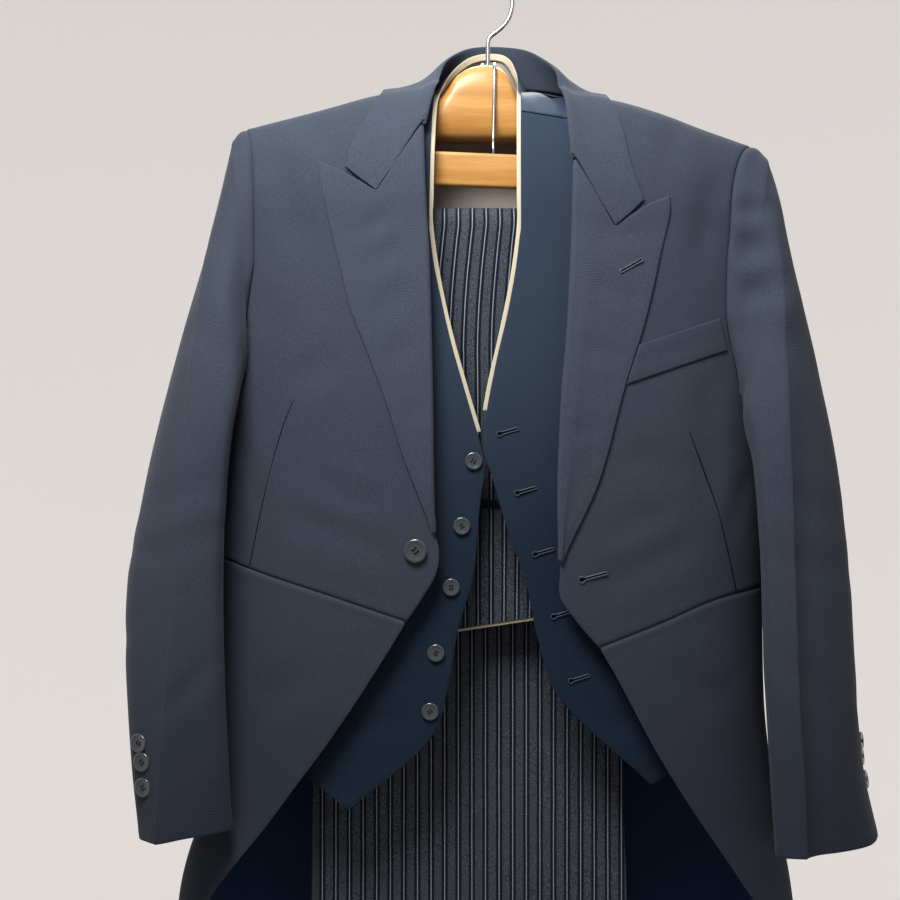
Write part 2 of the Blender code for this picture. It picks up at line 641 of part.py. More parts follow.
def tail_lining(side, mat):
    edge = skirt_edge(side)

    def surface(turn, v):
        top = waist_z(side, turn) - SEAM_GAP / 2
        z = mix(top, track(edge, 1, turn), v) + LINING_RISE * max(0.0, v - 0.9) * 10
        point = COAT.ring(side, turn, z)
        way = COAT.ring(side, min(turn + 0.005, 1.9999), z) - COAT.ring(side, turn - 0.005, z)
        normal = np.array((way[1], -way[0], 0.0)) * SIDES[side] / np.linalg.norm(way)
        return point - normal * (COAT_WALL + LINING_GAP)

    turns = [*SKIRT_TURNS[3:], PLEAT_TURN, 1.80, 1.90, 1.985]
    wall("tail_lining_" + side, surface, turns, spread(0, 1, SKIRT_ROWS)[1:], LINING_WALL, mat,
         (SIDES[side], 0.3, 0))


def lapel_point(side, u, v):
    """Lapel outline filled between the roll line, top edge, outer edge and break: x, z."""
    top, outer = LAPEL_TOP[side], LAPEL_OUTER[side]
    start, end = top[0][1], outer[-1][1] + 1.5

    def roll_at(z):
        return np.array((track(COAT_EDGE[side], 1, z), z))

    knots = tuple(zip(LAPEL_TOP_SHARES, top))
    k = bisect.bisect_right(LAPEL_TOP_SHARES[1:3], u)
    (u0, a), (u1, b) = knots[k], knots[k + 1]
    head = mix(np.array(a, float), np.array(b, float), (u - u0) / (u1 - u0))
    head[0] += (roll_at(start)[0] - top[0][0]) * (1 - u)
    foot = mix(roll_at(end), np.array(outer[-1], float), u)
    corners = mix(mix(roll_at(start), np.array(top[3], float), u), foot, v)
    return (mix(head, foot, v) + mix(roll_at(mix(start, end, v)), along(outer, v), u)) - corners


def lapel_rows(side, vs, folds, crowns):
    """Rows of lapel points: the fold's half round at the roll line, then across the lapel."""
    rows = []
    for v in vs:
        x, z = lapel_point(side, 0.0, v)
        shrink = min(1.0, 0.35 + 6 * (1 - v))
        row = []
        for angle in folds:
            lift = LAPEL_LIFT + LAPEL_ROLL * math.sin(math.radians(angle))
            point, _ = COAT.skin(side, x, z, lift)
            point[0] -= SIDES[side] * LAPEL_ROLL * math.cos(math.radians(angle))
            row.append(point)
        for u, crown in crowns:
            x, z = lapel_point(side, u, v)
            row.append(COAT.skin(side, x, z, LAPEL_LIFT + crown * shrink)[0])
        rows.append(row)
    return rows


def lapel(side, mat):
    rows = lapel_rows(side, spread(0, 1, 14), (-90, 0), LAPEL_CROWN)
    wall("lapel_" + side, *through(rows), COAT_WALL, mat, (0, -1, 0))


def collar_front_row(side, base_z, roll, edge, lift):
    """Collar row on a forepart: across the fall from its edge to the roll, then the stand."""
    edge_x = track(COAT_EDGE[side], 1, base_z)
    corner, notch, bend = edge
    fall = [COAT.skin(side, *point, FALL_LIFT + rise)[0]
            for point, rise in zip((corner, notch, bend), (0.0, 0.2, 1.2))]
    crest = COAT.skin(side, roll + SIDES[side] * 3.0, base_z + 1.0, FALL_LIFT + lift)[0]
    turn = COAT.skin(side, roll, base_z, FALL_LIFT + lift - 2.4)[0]
    base = COAT.skin(side, edge_x, base_z, STAND_LIFT)[0]
    return [*fall, crest, turn, base]


def collar_fronts(side):
    """Rows on a forepart from the gorge up: base z, roll x, lift, then three points of the fall."""
    gorge, bend, notch, corner = [np.array(point, float) for point in COLLAR_END[side]]
    rows = [(gorge[1], gorge[0] - SIDES[side] * END_ROLL, 1.8, corner, notch, bend)]
    for base_z, roll_x, lift, x, z in COLLAR_FRONT[side]:
        roll, rim = np.array((roll_x, base_z), float), np.array((x, z), float)
        rows.append((base_z, roll_x, lift, *[mix(rim, roll, share) for share in (0.0, 0.35, 0.7)]))
    between = tuple(mix(a, b, 0.5) for a, b in zip(rows[0], rows[1]))
    rows.insert(1, between)
    return [collar_front_row(side, row[0], row[1], row[3:], row[2]) for row in rows]


def collar_rows():
    """Collar rows from the wearer's right gorge, round the neck, to the left one."""
    fronts = {side: collar_fronts(side) for side in SIDES}
    middle = []
    for station in COLLAR_BACK:
        roll, edge, base = [np.array(station[i:i + 3], float) for i in (0, 3, 6)]
        away = (edge - roll) * (1, 1, 0)
        away /= np.linalg.norm(away)
        seam = base + (0, 0, 4.5) + away * 3.6
        crest = roll + away * 3.0 + (0, 0, 0.6)
        middle.append([edge, mix(edge, seam, 0.6), mix(seam, crest, 0.45) + away * 1.2, crest,
                       roll - (0, 0, 1.6), base])
    return fronts["R"] + middle + fronts["L"][::-1]


def collar(mat):
    wall("collar", *through(collar_rows()), COLLAR_WALL, mat, (0, 0.6, 1))


# ---------------------------------------------------------------- sleeves
def armhole_point(side, eighth):
    """Armhole on the coat at an eighth of the sleeve's ring (0 at the shoulder tip)."""
    eighth %= 8
    tip_z = COAT_RIDGE[side][-1][1]
    under = UNDERARM_Z[side]
    z = (tip_z + under) / 2 + (tip_z - under) / 2 * math.cos(eighth * math.pi / 4)
    front = eighth <= 4
    turn_at = COAT.outer if front else back_armhole
    if z > YOKE_Z:
        angle = math.acos((z - YOKE_Z) / (tip_z - YOKE_Z))
        tip = np.array((COAT_RIDGE[side][-1][0], 0.0, tip_z))
        return COAT.yoke(tip, COAT.ring(side, turn_at(side, YOKE_Z), YOKE_Z), angle)
    return COAT.ring(side, turn_at(side, z), z)


def hermite(a, b, c, d, t):
    """Smooth step from b to c, with a and d their neighbours."""
    return 0.5 * (2 * b + (c - a) * t + (2 * a - 5 * b + 4 * c - d) * t * t
                  + (3 * b - a - 3 * c + d) * t ** 3)


def ring_point(side, number, eighth):
    """Point of a sleeve ring, on a periodic curve through its eight named corners."""
    row = SLEEVE_RINGS[side][number]
    z = (row[0] + row[1]) / 2 + (row[0] - row[1]) / 2 * math.cos(eighth * math.pi / 4)
    k = math.floor(eighth)
    corners = [np.array(row[2 + 2 * ((k + d) % 8):4 + 2 * ((k + d) % 8)], float) for d in (-1, 0, 1, 2)]
    return np.array((*hermite(*corners, eighth - k), z))


def sleeve_point(side, down, eighth):
    """Sleeve surface at a ring number (0 at the armhole) and an eighth round it."""
    last = len(SLEEVE_RINGS[side])

    def knot(i):
        if i == 0:
            seam = armhole_point(side, eighth)
            cosine = math.cos(eighth * math.pi / 4)
            out = ARMHOLE_GAP + CROWN_GAP * max(0.0, cosine)
            return seam + np.array((SIDES[side] * out, 0, ARMHOLE_GAP * max(0.0, -cosine)))
        return ring_point(side, i - 1, eighth)

    k = min(int(down), last - 1)
    t = down - k
    if k == 0:
        return mix(knot(0), knot(1), t)
    before = knot(k - 1) if k > 1 else 2 * knot(k) - knot(k + 1)
    after = knot(k + 2) if k + 2 <= last else 2 * knot(k + 1) - knot(k)
    point = hermite(before, knot(k), knot(k + 1), after, t)
    return COAT.clear(point, SLEEVE_CLEAR) if point[2] < YOKE_Z else point


def sleeve_half(name, side, start, end, eighths, mat, outward):
    downs = [0, 1, 1.5, 2, 2.5, 3, 3.5, 4, 4.5, 5, 5.5, 6, 6.5, 7, 7.5, 8, 8.5, 9]
    inner = [eighth for eighth in eighths if start < eighth < end]
    round_it = [start + SLEEVE_SEAM_GAP, *inner, end - SLEEVE_SEAM_GAP]
    wall(name, lambda u, v: sleeve_point(side, u, v), downs, round_it, SLEEVE_WALL, mat, outward)


def sleeve_front(side, x, z):
    """Front-facing sleeve surface under (x, z) near the cuff, with its normal."""
    places = [(down, eighth) for down in spread(6.5, 9, 26) for eighth in spread(0, 2.4, 25)]
    down, eighth = min(places, key=lambda c: math.hypot(*(sleeve_point(side, *c)[[0, 2]] - (x, z))))
    point = sleeve_point(side, down, eighth)
    normal = np.cross(sleeve_point(side, down + 0.1, eighth) - point,
                      sleeve_point(side, down, eighth + 0.1) - point)
    normal *= math.copysign(1.0, normal[0] * SIDES[side])
    return point, normal / np.linalg.norm(normal)


# ---------------------------------------------------------------- waistcoat
def vest_lap(side, x, z):
    """Shift to the front by which the wearer's left front laps over the right one."""
    if side == "R":
        return 0.0
    return VEST_LAP * min(max((90 - x) / 60, 0.0), 1.0) * min(max((-z - 120) / 120, 0.0), 1.0)


def vest_front_point(side, u, v):
    """Waistcoat front from the neck and front edge (u 0) to the armhole, side and hem (u 1)."""
    if v < YOKE_SHARE:
        point = VEST.front_yoke(side, u, v / YOKE_SHARE * math.pi / 2)
    else:
        z = mix(YOKE_Z, VEST_EDGE[side][-1][0] + 3.5, (v - YOKE_SHARE) / (1 - YOKE_SHARE))
        turn = mix(VEST.inner(side, z), track(VEST_OUTER[side], 1, z), u)
        point = VEST.ring(side, turn, z)
    point[1] -= vest_lap(side, point[0], point[2])
    return point


def vest_front(side, mat):
    foot = VEST_EDGE[side][-1][0] + 3.5
    heights = (YOKE_Z, -265, -300, -340, -380, -410, -440, -500, -560, -610, -640, -662, -680, foot)
    rest = [(z - YOKE_Z) / (foot - YOKE_Z) for z in heights]
    wall("vest_front_" + side, lambda u, v: vest_front_point(side, u, v),
         [0, 0.2, 0.4, 0.6, 0.8, 0.92, 1], yoke_shares(7, rest), VEST_WALL, mat, (0, -1, 0))


VEST_TOP_LINE = tuple([(x, RIDGE_GAP, z) for x, z in VEST_RIDGE["R"][:0:-1]]
                      + [tuple(float(c) for c in point) for point in VEST_NECK]
                      + [(x, RIDGE_GAP, z) for x, z in VEST_RIDGE["L"][1:]])


def vest_back_point(u, v):
    """Waistcoat back from the wearer's right armhole (u 0) to the left one (u 1)."""
    side = "R" if u <= 0.5 else "L"

    def turn_at(z):
        return 2.0 - (2.0 - track(VEST_BACK_ARMHOLE, 1, z)) * abs(2 * u - 1)

    if v < YOKE_SHARE:
        low = VEST.ring(side, turn_at(YOKE_Z), YOKE_Z)
        return VEST.yoke(along(VEST_TOP_LINE, u), low, v / YOKE_SHARE * math.pi / 2)
    z = mix(YOKE_Z, VEST_BACK_HEM_Z, (v - YOKE_SHARE) / (1 - YOKE_SHARE))
    return VEST.ring(side, turn_at(z), z)


def vest_back(mat):
    heights = (YOKE_Z, -290, -350, -400, -430, -530, VEST_BACK_HEM_Z)
    rest = [(z - YOKE_Z) / (VEST_BACK_HEM_Z - YOKE_Z) for z in heights]
    wall("vest_back", vest_back_point, spread(0, 1, 23), yoke_shares(6, rest), VEST_WALL, mat,
         (0, 1, 0))


def neck_line():
    """Neck edge of the waistcoat from the V, round the back, to the V: point, normal."""
    def read(surface, u, v):
        du = surface(min(u + 1e-3, 1.0), v) - surface(max(u - 1e-3, 0.0), v)
        dv = surface(u, v + 1e-3) - surface(u, max(v - 1e-3, 0.0))
        normal = np.cross(du, dv)
        normal /= np.linalg.norm(normal)
        return surface(u, v), normal * math.copysign(1.0, normal[1])

    def front(side, v):
        point, normal = read(lambda a, b: vest_front_point(side, a, b), 0.0, v)
        return point, normal * math.copysign(1.0, -normal[1])

    rows = measured(VEST_TOP_LINE)
    first = rows[len(VEST_RIDGE["R"]) - 1][0] / rows[-1][0]
    last = rows[-len(VEST_RIDGE["L"])][0] / rows[-1][0]
    vs = [0.10, 0.16, 0.23, 0.30, 0.35, 0.41, 0.47, 0.53, 0.58]
    line = [front("R", v) for v in vs[::-1]]
    for u in spread(first + 0.012, last - 0.012, 11):
        line.append((vest_back_point(u, 0.0), read(vest_back_point, u, 0.12)[1]))
    return line + [front("L", v) for v in vs[:-1] + [0.565]]


def vest_slip(mat):
    line = neck_line()
    ways = np.gradient(np.array([point for point, _ in line]), axis=0)
    rows = []
    for (point, normal), way in zip(line, ways):
        across = np.cross(way, normal)
        across /= np.linalg.norm(across)
        centre = np.array((-9.0 - point[0], 0, 0)) if point[1] < 5 else np.array((0, 0, 1.0))
        across *= math.copysign(1.0, np.dot(across, centre))
        under = SLIP_UNDER if point[1] < -8 else 2.0
        seat = point - normal * (VEST_WALL + SLIP_GAP)
        rows.append([seat - across * under, seat, seat + across * SLIP_SHOW])
    wall("vest_slip", *through(rows), SLIP_WALL, mat, (0, 1, 0.5))


# ---------------------------------------------------------------- trousers
def fold_path(distance, offset):
    """Point and outward way on the path over the bar; distance runs from the waist."""
    reach = BAR_R + offset
    if distance < WAIST_DROP:
        return np.array((BAR_Y - reach, BAR_Z - WAIST_DROP + distance)), np.array((-1.0, 0.0))
    if distance < WAIST_DROP + OVER_BAR:
        angle = math.pi * (1 - (distance - WAIST_DROP) / OVER_BAR)
        way = np.array((math.cos(angle), math.sin(angle)))
        return np.array((BAR_Y, BAR_Z)) + way * reach, way
    return np.array((BAR_Y + reach, BAR_Z - (distance - WAIST_DROP - OVER_BAR))), np.array((1.0, 0.0))


def leg(side, mat):
    """One leg pressed flat on its creases, its rounded folds along both edges."""
    offset = BAR_GAP + (LEG_THICK + SEAM_GAP) * (1 if side == "R" else 0)
    stops = [0, 40, 120, 200, 280, WAIST_DROP - 2]
    stops += [WAIST_DROP + OVER_BAR * k / 8 for k in range(1, 8)]
    stops += [WAIST_DROP + OVER_BAR + d for d in (2, 100, 250, 400, 520, HEM_DROP)]
    half = LEG_THICK / 2
    rings = []
    for stop in stops:
        left, right = track(LEG_EDGES[side], 1, stop), track(LEG_EDGES[side], 2, stop)
        middle, way = fold_path(stop, offset + half)
        flat = spread(left + LEG_FOLD, right - LEG_FOLD, 6)
        section = [(left, 0.0)] + [(x, 1.0) for x in flat] + [(right, 0.0)]
        section += [(x, -1.0) for x in flat[::-1]]
        ring = []
        for x, layer in section:
            y, z = middle + way * half * layer
            slope = WAIST_SLOPE * (x - WAIST_MIDDLE) * max(0.0, 1 - stop / 60)
            ring.append((x, y, z + slope))
        rings.append(ring)
    return tube("trousers_leg_" + side, rings, mat, 60.0)


def pocket_welt(mat):
    left, right, top, bottom = POCKET
    face = BAR_Y - BAR_R - BAR_GAP - 2 * LEG_THICK - SEAM_GAP
    rows = [[(x, face - SEAM_GAP - 1.0, z) for x in spread(left, right, 4)] for z in (top, bottom)]
    wall("trousers_pocket_welt", *through(rows), 1.0, mat, (0, -1, 0))


def waist_lining(mat):
    """Light lining edge that peeks out below the waist of the outer leg."""
    left, right = LEG_EDGES["R"][0][1] + 6, LEG_EDGES["R"][0][2] - 6
    y = BAR_Y - BAR_R - BAR_GAP - LEG_THICK - SEAM_GAP - 1.2
    low = BAR_Z - WAIST_DROP
    rows = [[(x, y, low + WAIST_SLOPE * (x - WAIST_MIDDLE) - drop) for x in spread(left, right, 5)]
            for drop in (0.5, 3.2)]
    wall("trousers_waist_lining", *through(rows), 0.9, mat, (0, -1, 0))


# ---------------------------------------------------------------- hangers
def hanger_body(mat):
    rings = []
    for x, top, bottom, deep, square in HANGER:
        middle, tall, power = (top + bottom) / 2, (top - bottom) / 2, 2 / square
        rings.append([(x, deep * math.copysign(abs(c) ** power, c),
                       middle + tall * math.copysign(abs(s) ** power, s)) for c, s in circle(14)])
    return tube("hanger_body", rings, mat, 70.0)


def hanger_hook(mat):
    cx, cz = HOOK_CENTRE
    head_top = track(tuple((row[0], row[1]) for row in HANGER), 1, cx)
    path = [(cx, 0, head_top + 0.35), (cx, 0, -66), (cx, 0, -57), (0.6, 0, -51.5), (6, 0, -47),
            (13, 0, -41), (18.4, 0, -33)]
    path += [(cx + HOOK_R * math.cos(math.radians(a)), 0, cz + HOOK_R * math.sin(math.radians(a)))
             for a in spread(-12, HOOK_TIP_TURN, 15)]
    return rod("hanger_hook", path, HOOK_WIRE_R, mat, 10)


def rail_z(x):
    return RAIL_Z + RAIL_SLOPE * (x + 54)


def wire_loop(mat):
    """Wire that hooks round the stem over the head's top and carries the rail in front of it."""
    foot = rail_z(3.0) + RAIL_TALL / 2 + 0.4
    path = ((3, RAIL_Y, foot), (3, RAIL_Y, foot + 6), (3.2, -23.5, foot + 20), (3.8, -21.5, -118),
            (4.2, -20.6, -97), (4.4, -19.0, -86), (4.5, -14, -80.6), (4.5, -6, -77.2), (4.4, 1.5, -77.2),
            (2.6, 5.4, -77.0), (-1.2, 6.4, -76.2), (-4.8, 4.0, -76.0), (-5.8, -0.5, -76.0))
    return rod("trouser_hanger_hook", [along(path, u) for u in spread(0, 1, 26)], WIRE_R, mat, 8)


def rounded_box(name, x0, x1, y, z_at, tall, thick, mat):
    cut = 2.5
    outline = ((thick / 2 - cut, tall / 2), (thick / 2, tall / 2 - cut), (thick / 2, cut - tall / 2),
               (thick / 2 - cut, -tall / 2), (cut - thick / 2, -tall / 2),
               (-thick / 2, cut - tall / 2), (-thick / 2, tall / 2 - cut), (cut - thick / 2, tall / 2))
    rings = [[(x, y + dy, z_at(x) + dz) for dy, dz in outline] for x in (x0, x1)]
    return tube(name, rings, mat, 30.0)


def trouser_hanger(wood, steel):
    rounded_box("trouser_hanger_rail", *RAIL, RAIL_Y, rail_z, RAIL_TALL, RAIL_THICK, wood)
    rod("trouser_hanger_bar", [(x, BAR_Y, BAR_Z) for x in spread(*RAIL, 3)], BAR_R, wood, 16)
    middle = (RAIL_Z + BAR_Z) / 2 - 4
    for side, x in (("R", RAIL[0] - LINK_THICK - SEAM_GAP), ("L", RAIL[1] + SEAM_GAP)):
        rounded_box("trouser_hanger_link_" + side, x, x + LINK_THICK, (RAIL_Y + BAR_Y) / 2,
                    lambda _: middle, RAIL_Z - BAR_Z + 26, 14, steel)


# ---------------------------------------------------------------- trims
def chest_welt(mat):
    """Welt of the chest pocket, from the lapel's edge outward, on the forepart's surface."""
    rows = []
    edge = tuple((z, x) for x, z in LAPEL_OUTER["L"])
    for t in spread(0, 1, 6):
        row = []
        for (far_x, far_z), near_z in zip(WELT, WELT_AT_LAPEL_Z):
            near_x = track(edge, 1, near_z) + 1.2
            x, z = mix(near_x, far_x, t), mix(near_z, far_z, t)
            row.append(COAT.skin("L", x, z, WELT_WALL + 0.5)[0])
        rows.append(row)
    wall("chest_welt", *through(rows), WELT_WALL, mat, (0, -1, 0))


def buttons(mat):
    seat, normal = COAT.skin("R", *COAT_BUTTON)
    button("coat_button", seat, normal, COAT_BUTTON_D, mat)
    for side, places in CUFF_BUTTONS.items():
        for number, place in enumerate(places, 1):
            seat, normal = sleeve_front(side, *place)
            button(f"cuff_button_{side}{number}", seat - normal * CUFF_BUTTON_SINK[side], normal, CUFF_BUTTON_D, mat)
    for number, (x, z) in enumerate(VEST_BUTTONS, 1):
        seat, normal = VEST.skin("R", x, z)
        button(f"vest_button_{number}", seat, normal, VEST_BUTTON_D, mat)
    for side in SIDES:
        z = waist_z(side, 1.0) + 2
        seat = COAT.ring(side, BACK_BUTTON_TURN, z)
        near = COAT.ring(side, BACK_BUTTON_TURN + 0.02, z) - seat
        normal = np.cross(near, (0, 0, 1.0))
        normal *= math.copysign(1.0, normal[1]) / np.linalg.norm(normal)
        button("back_button_" + side, seat + normal * 0.35, normal, COAT_BUTTON_D, mat)


def build():
    for obj in list(bpy.data.objects):
        bpy.data.objects.remove(obj, do_unlink=True)
    coat_cloth = material("coat_cloth", (0.030, 0.035, 0.048), 0.85)
    vest_cloth = material("vest_cloth", (0.020, 0.028, 0.042), 0.85)
    vest_satin = material("vest_back_satin", (0.045, 0.052, 0.068), 0.40)
    tail_satin = material("tail_lining_satin", (0.012, 0.018, 0.032), 0.45)
    ivory = material("ivory_slip", (0.62, 0.57, 0.42), 0.70)
    striped = material("trouser_cloth", (0.045, 0.047, 0.055), 0.85)
    horn = material("button_horn", (0.045, 0.048, 0.055), 0.30)
    wood = material("hanger_wood", (0.62, 0.36, 0.15), 0.40)
    steel = material("hook_steel", (0.75, 0.75, 0.76), 0.25, 1.0)
    for side in SIDES:
        coat_front(side, coat_cloth)
        side_body(side, coat_cloth)
        coat_back(side, coat_cloth)
        coat_skirt(side, coat_cloth)
        tail_lining(side, tail_satin)
        lapel(side, coat_cloth)
        out = np.array((SIDES[side], 0, 0))
        sleeve_half("sleeve_top_" + side, side, BACK_SEAM_EIGHTH - 8, FRONT_SEAM_EIGHTH,
                    spread(-1.0, 2.5, 8), coat_cloth, out)
        sleeve_half("sleeve_under_" + side, side, FRONT_SEAM_EIGHTH, BACK_SEAM_EIGHTH,
                    (3.2, 3.4, 3.6, 3.8, 4.0, 4.5, 5.0, 5.5, 6.0), coat_cloth, -out)
        vest_front(side, vest_cloth)
        leg(side, striped)
    collar(coat_cloth)
    chest_welt(coat_cloth)
    vest_back(vest_satin)
    vest_slip(ivory)
    pocket_welt(striped)
    waist_lining(ivory)
    buttons(horn)
    hanger_body(wood)
    hanger_hook(steel)
    wire_loop(steel)
    trouser_hanger(wood, steel)


build()
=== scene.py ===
"""Morning suit on a wooden hanger, dressed: cloth, sewing, buttons, wood and wire.

Sizes are in millimetres and become metres when a mesh is made. _R is the wearer's right, X below zero.
"""
import bisect
import functools
import math

import bpy
import numpy as np
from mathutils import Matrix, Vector


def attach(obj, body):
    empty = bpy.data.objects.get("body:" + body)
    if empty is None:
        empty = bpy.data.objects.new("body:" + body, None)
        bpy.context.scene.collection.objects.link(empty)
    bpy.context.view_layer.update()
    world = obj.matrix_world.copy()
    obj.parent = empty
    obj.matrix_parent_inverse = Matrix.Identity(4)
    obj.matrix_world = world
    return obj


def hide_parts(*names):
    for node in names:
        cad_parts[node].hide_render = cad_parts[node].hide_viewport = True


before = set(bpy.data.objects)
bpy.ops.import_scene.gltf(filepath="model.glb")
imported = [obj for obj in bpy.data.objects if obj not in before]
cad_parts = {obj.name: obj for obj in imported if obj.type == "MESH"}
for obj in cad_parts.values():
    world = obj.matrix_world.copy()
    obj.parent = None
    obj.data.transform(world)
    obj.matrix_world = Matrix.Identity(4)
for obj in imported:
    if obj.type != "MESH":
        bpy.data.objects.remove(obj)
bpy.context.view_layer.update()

MM = 0.001
SEAM_GAP = 0.3
RIDGE_GAP = 0.35
COAT_WALL = 1.6
SLEEVE_WALL = 1.4
VEST_WALL = 1.4
LINING_WALL = 1.0
SECTION_POWER = 2.6
YOKE_Z = -230.0
YOKE_SHARE = 0.35
SIDES = {"R": -1.0, "L": 1.0}

# ---------------------------------------------------------------- driving tables
# Body sections: z, half width, front depth, back depth, centre x
COAT_SECTIONS = (
    (-230, 236, 73, 66, 1), (-300, 238, 80, 68, 1), (-400, 240, 86, 68, 2), (-500, 241, 87, 64, 2),
    (-566, 241, 85, 62, 2), (-650, 244, 83, 64, 2), (-742, 257, 82, 70, 0), (-800, 270, 84, 74, -3),
    (-900, 282, 84, 78, -4), (-1070, 292, 82, 80, -4),
)
VEST_SECTIONS = (
    (-230, 214, 60, 47, -4), (-300, 218, 65, 48, -4), (-400, 222, 69, 48, -4), (-500, 222, 70, 46, -4),
    (-600, 222, 68, 46, -4), (-740, 226, 64, 48, -4),
)
# Shoulder ridges from the neck to the tip: x, z
COAT_RIDGE = {
    "R": ((-64, -100), (-92, -103), (-143, -116), (-170, -123), (-219, -135)),
    "L": ((76, -103.5), (101, -107), (153, -121), (189, -134), (236, -150)),
}
VEST_RIDGE = {
    "R": ((-47, -100.5), (-64, -103.6), (-92, -106.4), (-143, -119.2), (-158, -123.2)),
    "L": ((29, -101), (50, -104.5), (76, -107.4), (101, -110.4), (153, -124.2), (166, -128.6)),
}
# Inner edge of each forepart: z, x (roll line down to the break, then the cut-away edge)
COAT_EDGE = {
    "R": ((-100, -64), (-145, -60), (-195, -58), (-269, -54), (-380, -51), (-463, -50), (-493, -49),
          (-514, -43), (-531, -50), (-566, -72)),
    "L": ((-103.5, 76), (-176, 72), (-253, 69), (-321, 65), (-380, 60), (-463, 57), (-518, 58),
          (-539, 57), (-588, 91)),
}
# Armhole on the front: z, x; below it the forepart ends at the side seam
COAT_ARMHOLE = {
    "R": ((-135, -219), (-186, -207), (-214, -205), (-258, -205), (-292, -210), (-343, -218)),
    "L": ((-150, 236), (-186, 218), (-215, 211), (-253, 206), (-308, 204), (-340, 210), (-370, 219)),
}
UNDERARM_Z = {"R": -388.0, "L": -410.0}
SIDE_SEAM_TURN = 0.92
TURN_GAP = 0.0025
CENTRE_GAP = 0.0004
SIDE_BODY_RISE = 125.0
PLEAT_TURN = 1.69
# Back armhole and side-back seam: height above the underarm, turn round the body
BACK_ARMHOLE = ((300, 1.27), (202, 1.38), (130, 1.37), (45, 1.27), (15, 1.12), (2, 0.96))
BACK_SEAM = ((130, 1.37), (80, 1.43), (0, 1.53), (-130, 1.66), (-160, 1.68), (-700, 1.70))
# Waist seam from the front edge to the side: x, z
WAIST_SEAM = {
    "R": ((-72, -566), (-143, -543), (-194, -528), (-240, -514)),
    "L": ((91, -588), (142, -569), (194, -549), (240, -540)),
}
# Cut-away edge of the skirt on the front: x, z; then round the body: turn, z
SKIRT_FRONT = {
    "R": ((-72, -566), (-102, -615), (-136, -666), (-158, -696), (-196, -748), (-237, -800)),
    "L": ((91, -588), (116, -632), (143, -683), (177, -736), (199, -768), (221, -801)),
}
SKIRT_ROUND = ((0.80, -868), (1.00, -935), (1.20, -990), (1.40, -1032), (1.55, -1052), (1.75, -1063))
LINING_START_TURN = 0.70
TAIL_HEM_Z = -1066.0
LINING_RISE = 14.0
LINING_GAP = 2.2
# Neck seam across the back: x, y, z
COAT_NECK = ((-64, 0, -100), (-57, 26, -94.5), (-35, 50, -87), (6, 60, -83), (47, 50, -88),
             (70, 26, -98), (76, 0, -103.5))
VEST_NECK = ((-47, 0, -100.5), (-41, 14, -90), (-30, 27, -75), (-12, 38, -62), (2, 40, -59.5),
             (15, 38, -62), (25, 22, -79), (28, 10, -90), (29, 0, -101))
# Waistcoat front edge: z, x; it ends in the hem's point
VEST_EDGE = {
    "R": ((-100.5, -47), (-137, -54), (-163, -54), (-212, -54), (-250, -51), (-288, -44), (-328, -35),
          (-374, -22), (-419, -9), (-433, -6), (-469, -10), (-526, -15), (-573, -28), (-629, -38),
          (-658, -46), (-730, -122)),
    "L": ((-101, 29), (-163, 28), (-199, 28), (-255, 23), (-302, 15), (-345, 5), (-392, -4), (-416, -7),
          (-444, 1), (-489, 14), (-535, 30), (-573, 38), (-617, 50), (-626, 54), (-709, 138)),
}
# Waistcoat outer edge: z, turn (armhole, side seam, then the hem back to the point)
VEST_OUTER = {
    "R": ((-123, 0.46), (-200, 0.42), (-300, 0.50), (-380, 0.70), (-420, 0.98), (-640, 0.98),
          (-668, 0.66), (-695, 0.47), (-715, 0.352), (-730, 0.284)),
    "L": ((-128, 0.50), (-200, 0.46), (-310, 0.52), (-395, 0.72), (-435, 0.98), (-640, 0.98),
          (-662, 0.75), (-689, 0.50), (-700, 0.43), (-709, 0.372)),
}
VEST_ARMHOLE = {
    "R": ((-123, -158), (-200, -146), (-300, -165)),
    "L": ((-128, 166), (-200, 152), (-300, 168)),
}
VEST_UNDERARM_Z = {"R": -420.0, "L": -435.0}
VEST_BACK_ARMHOLE = ((-123, 1.54), (-230, 1.50), (-330, 1.42), (-400, 1.20), (-430, 1.02), (-640, 1.02))
VEST_LAP = 3.4
VEST_BACK_HEM_Z = -640.0
VEST_MIDDLE_X = -9.0
SLIP_WALL = 0.8
SLIP_GAP = 0.95
SLIP_UNDER = 6.0
SLIP_SHOW = 3.6
# Lapel outline: gorge, notch, tip, then the outer edge down to the break: x, z
LAPEL_TOP = {
    "R": ((-57, -145.6), (-96, -201.6), (-125, -184.8), (-148, -174)),
    "L": ((69, -176.6), (103, -231.6), (131, -213.8), (152, -205)),
}
LAPEL_OUTER = {
    "R": ((-148, -174), (-143, -203), (-131, -254), (-118, -305), (-108, -330), (-89, -380),
          (-73, -430), (-60, -463), (-49, -492)),
    "L": ((152, -205), (153, -209), (143, -258), (130, -312), (113, -365), (90, -447), (65, -501),
          (58.5, -516)),
}
LAPEL_ROLL = 2.1
LAPEL_LIFT = 2.45
LAPEL_TOP_SHARES = (0.0, 0.52, 0.8, 1.0)
# Rise of the lapel over its flat lie: share of its width, rise
LAPEL_CROWN = ((0.0, 2.1), (0.2, 2.6), (0.36, 1.6), (0.52, 0.9), (0.8, 0.3), (1.0, 0.0))
# Collar on the foreparts, from the gorge up to the shoulder: base z, roll x, lift, edge x, z
COLLAR_FRONT = {
    "R": ((-134, -54, 3.0, -120, -162), (-120, -51, 4.5, -107, -134), (-108, -48, 5.5, -99, -116),
          (-102.2, -46, 6.0, -95, -107)),
    "L": ((-160, 67.5, 3.0, 119, -176), (-142, 66, 4.0, 115, -152), (-124, 65, 4.5, 111, -134),
          (-112, 63, 5.5, 107, -119), (-106, 61.5, 6.0, 104.5, -111)),
}
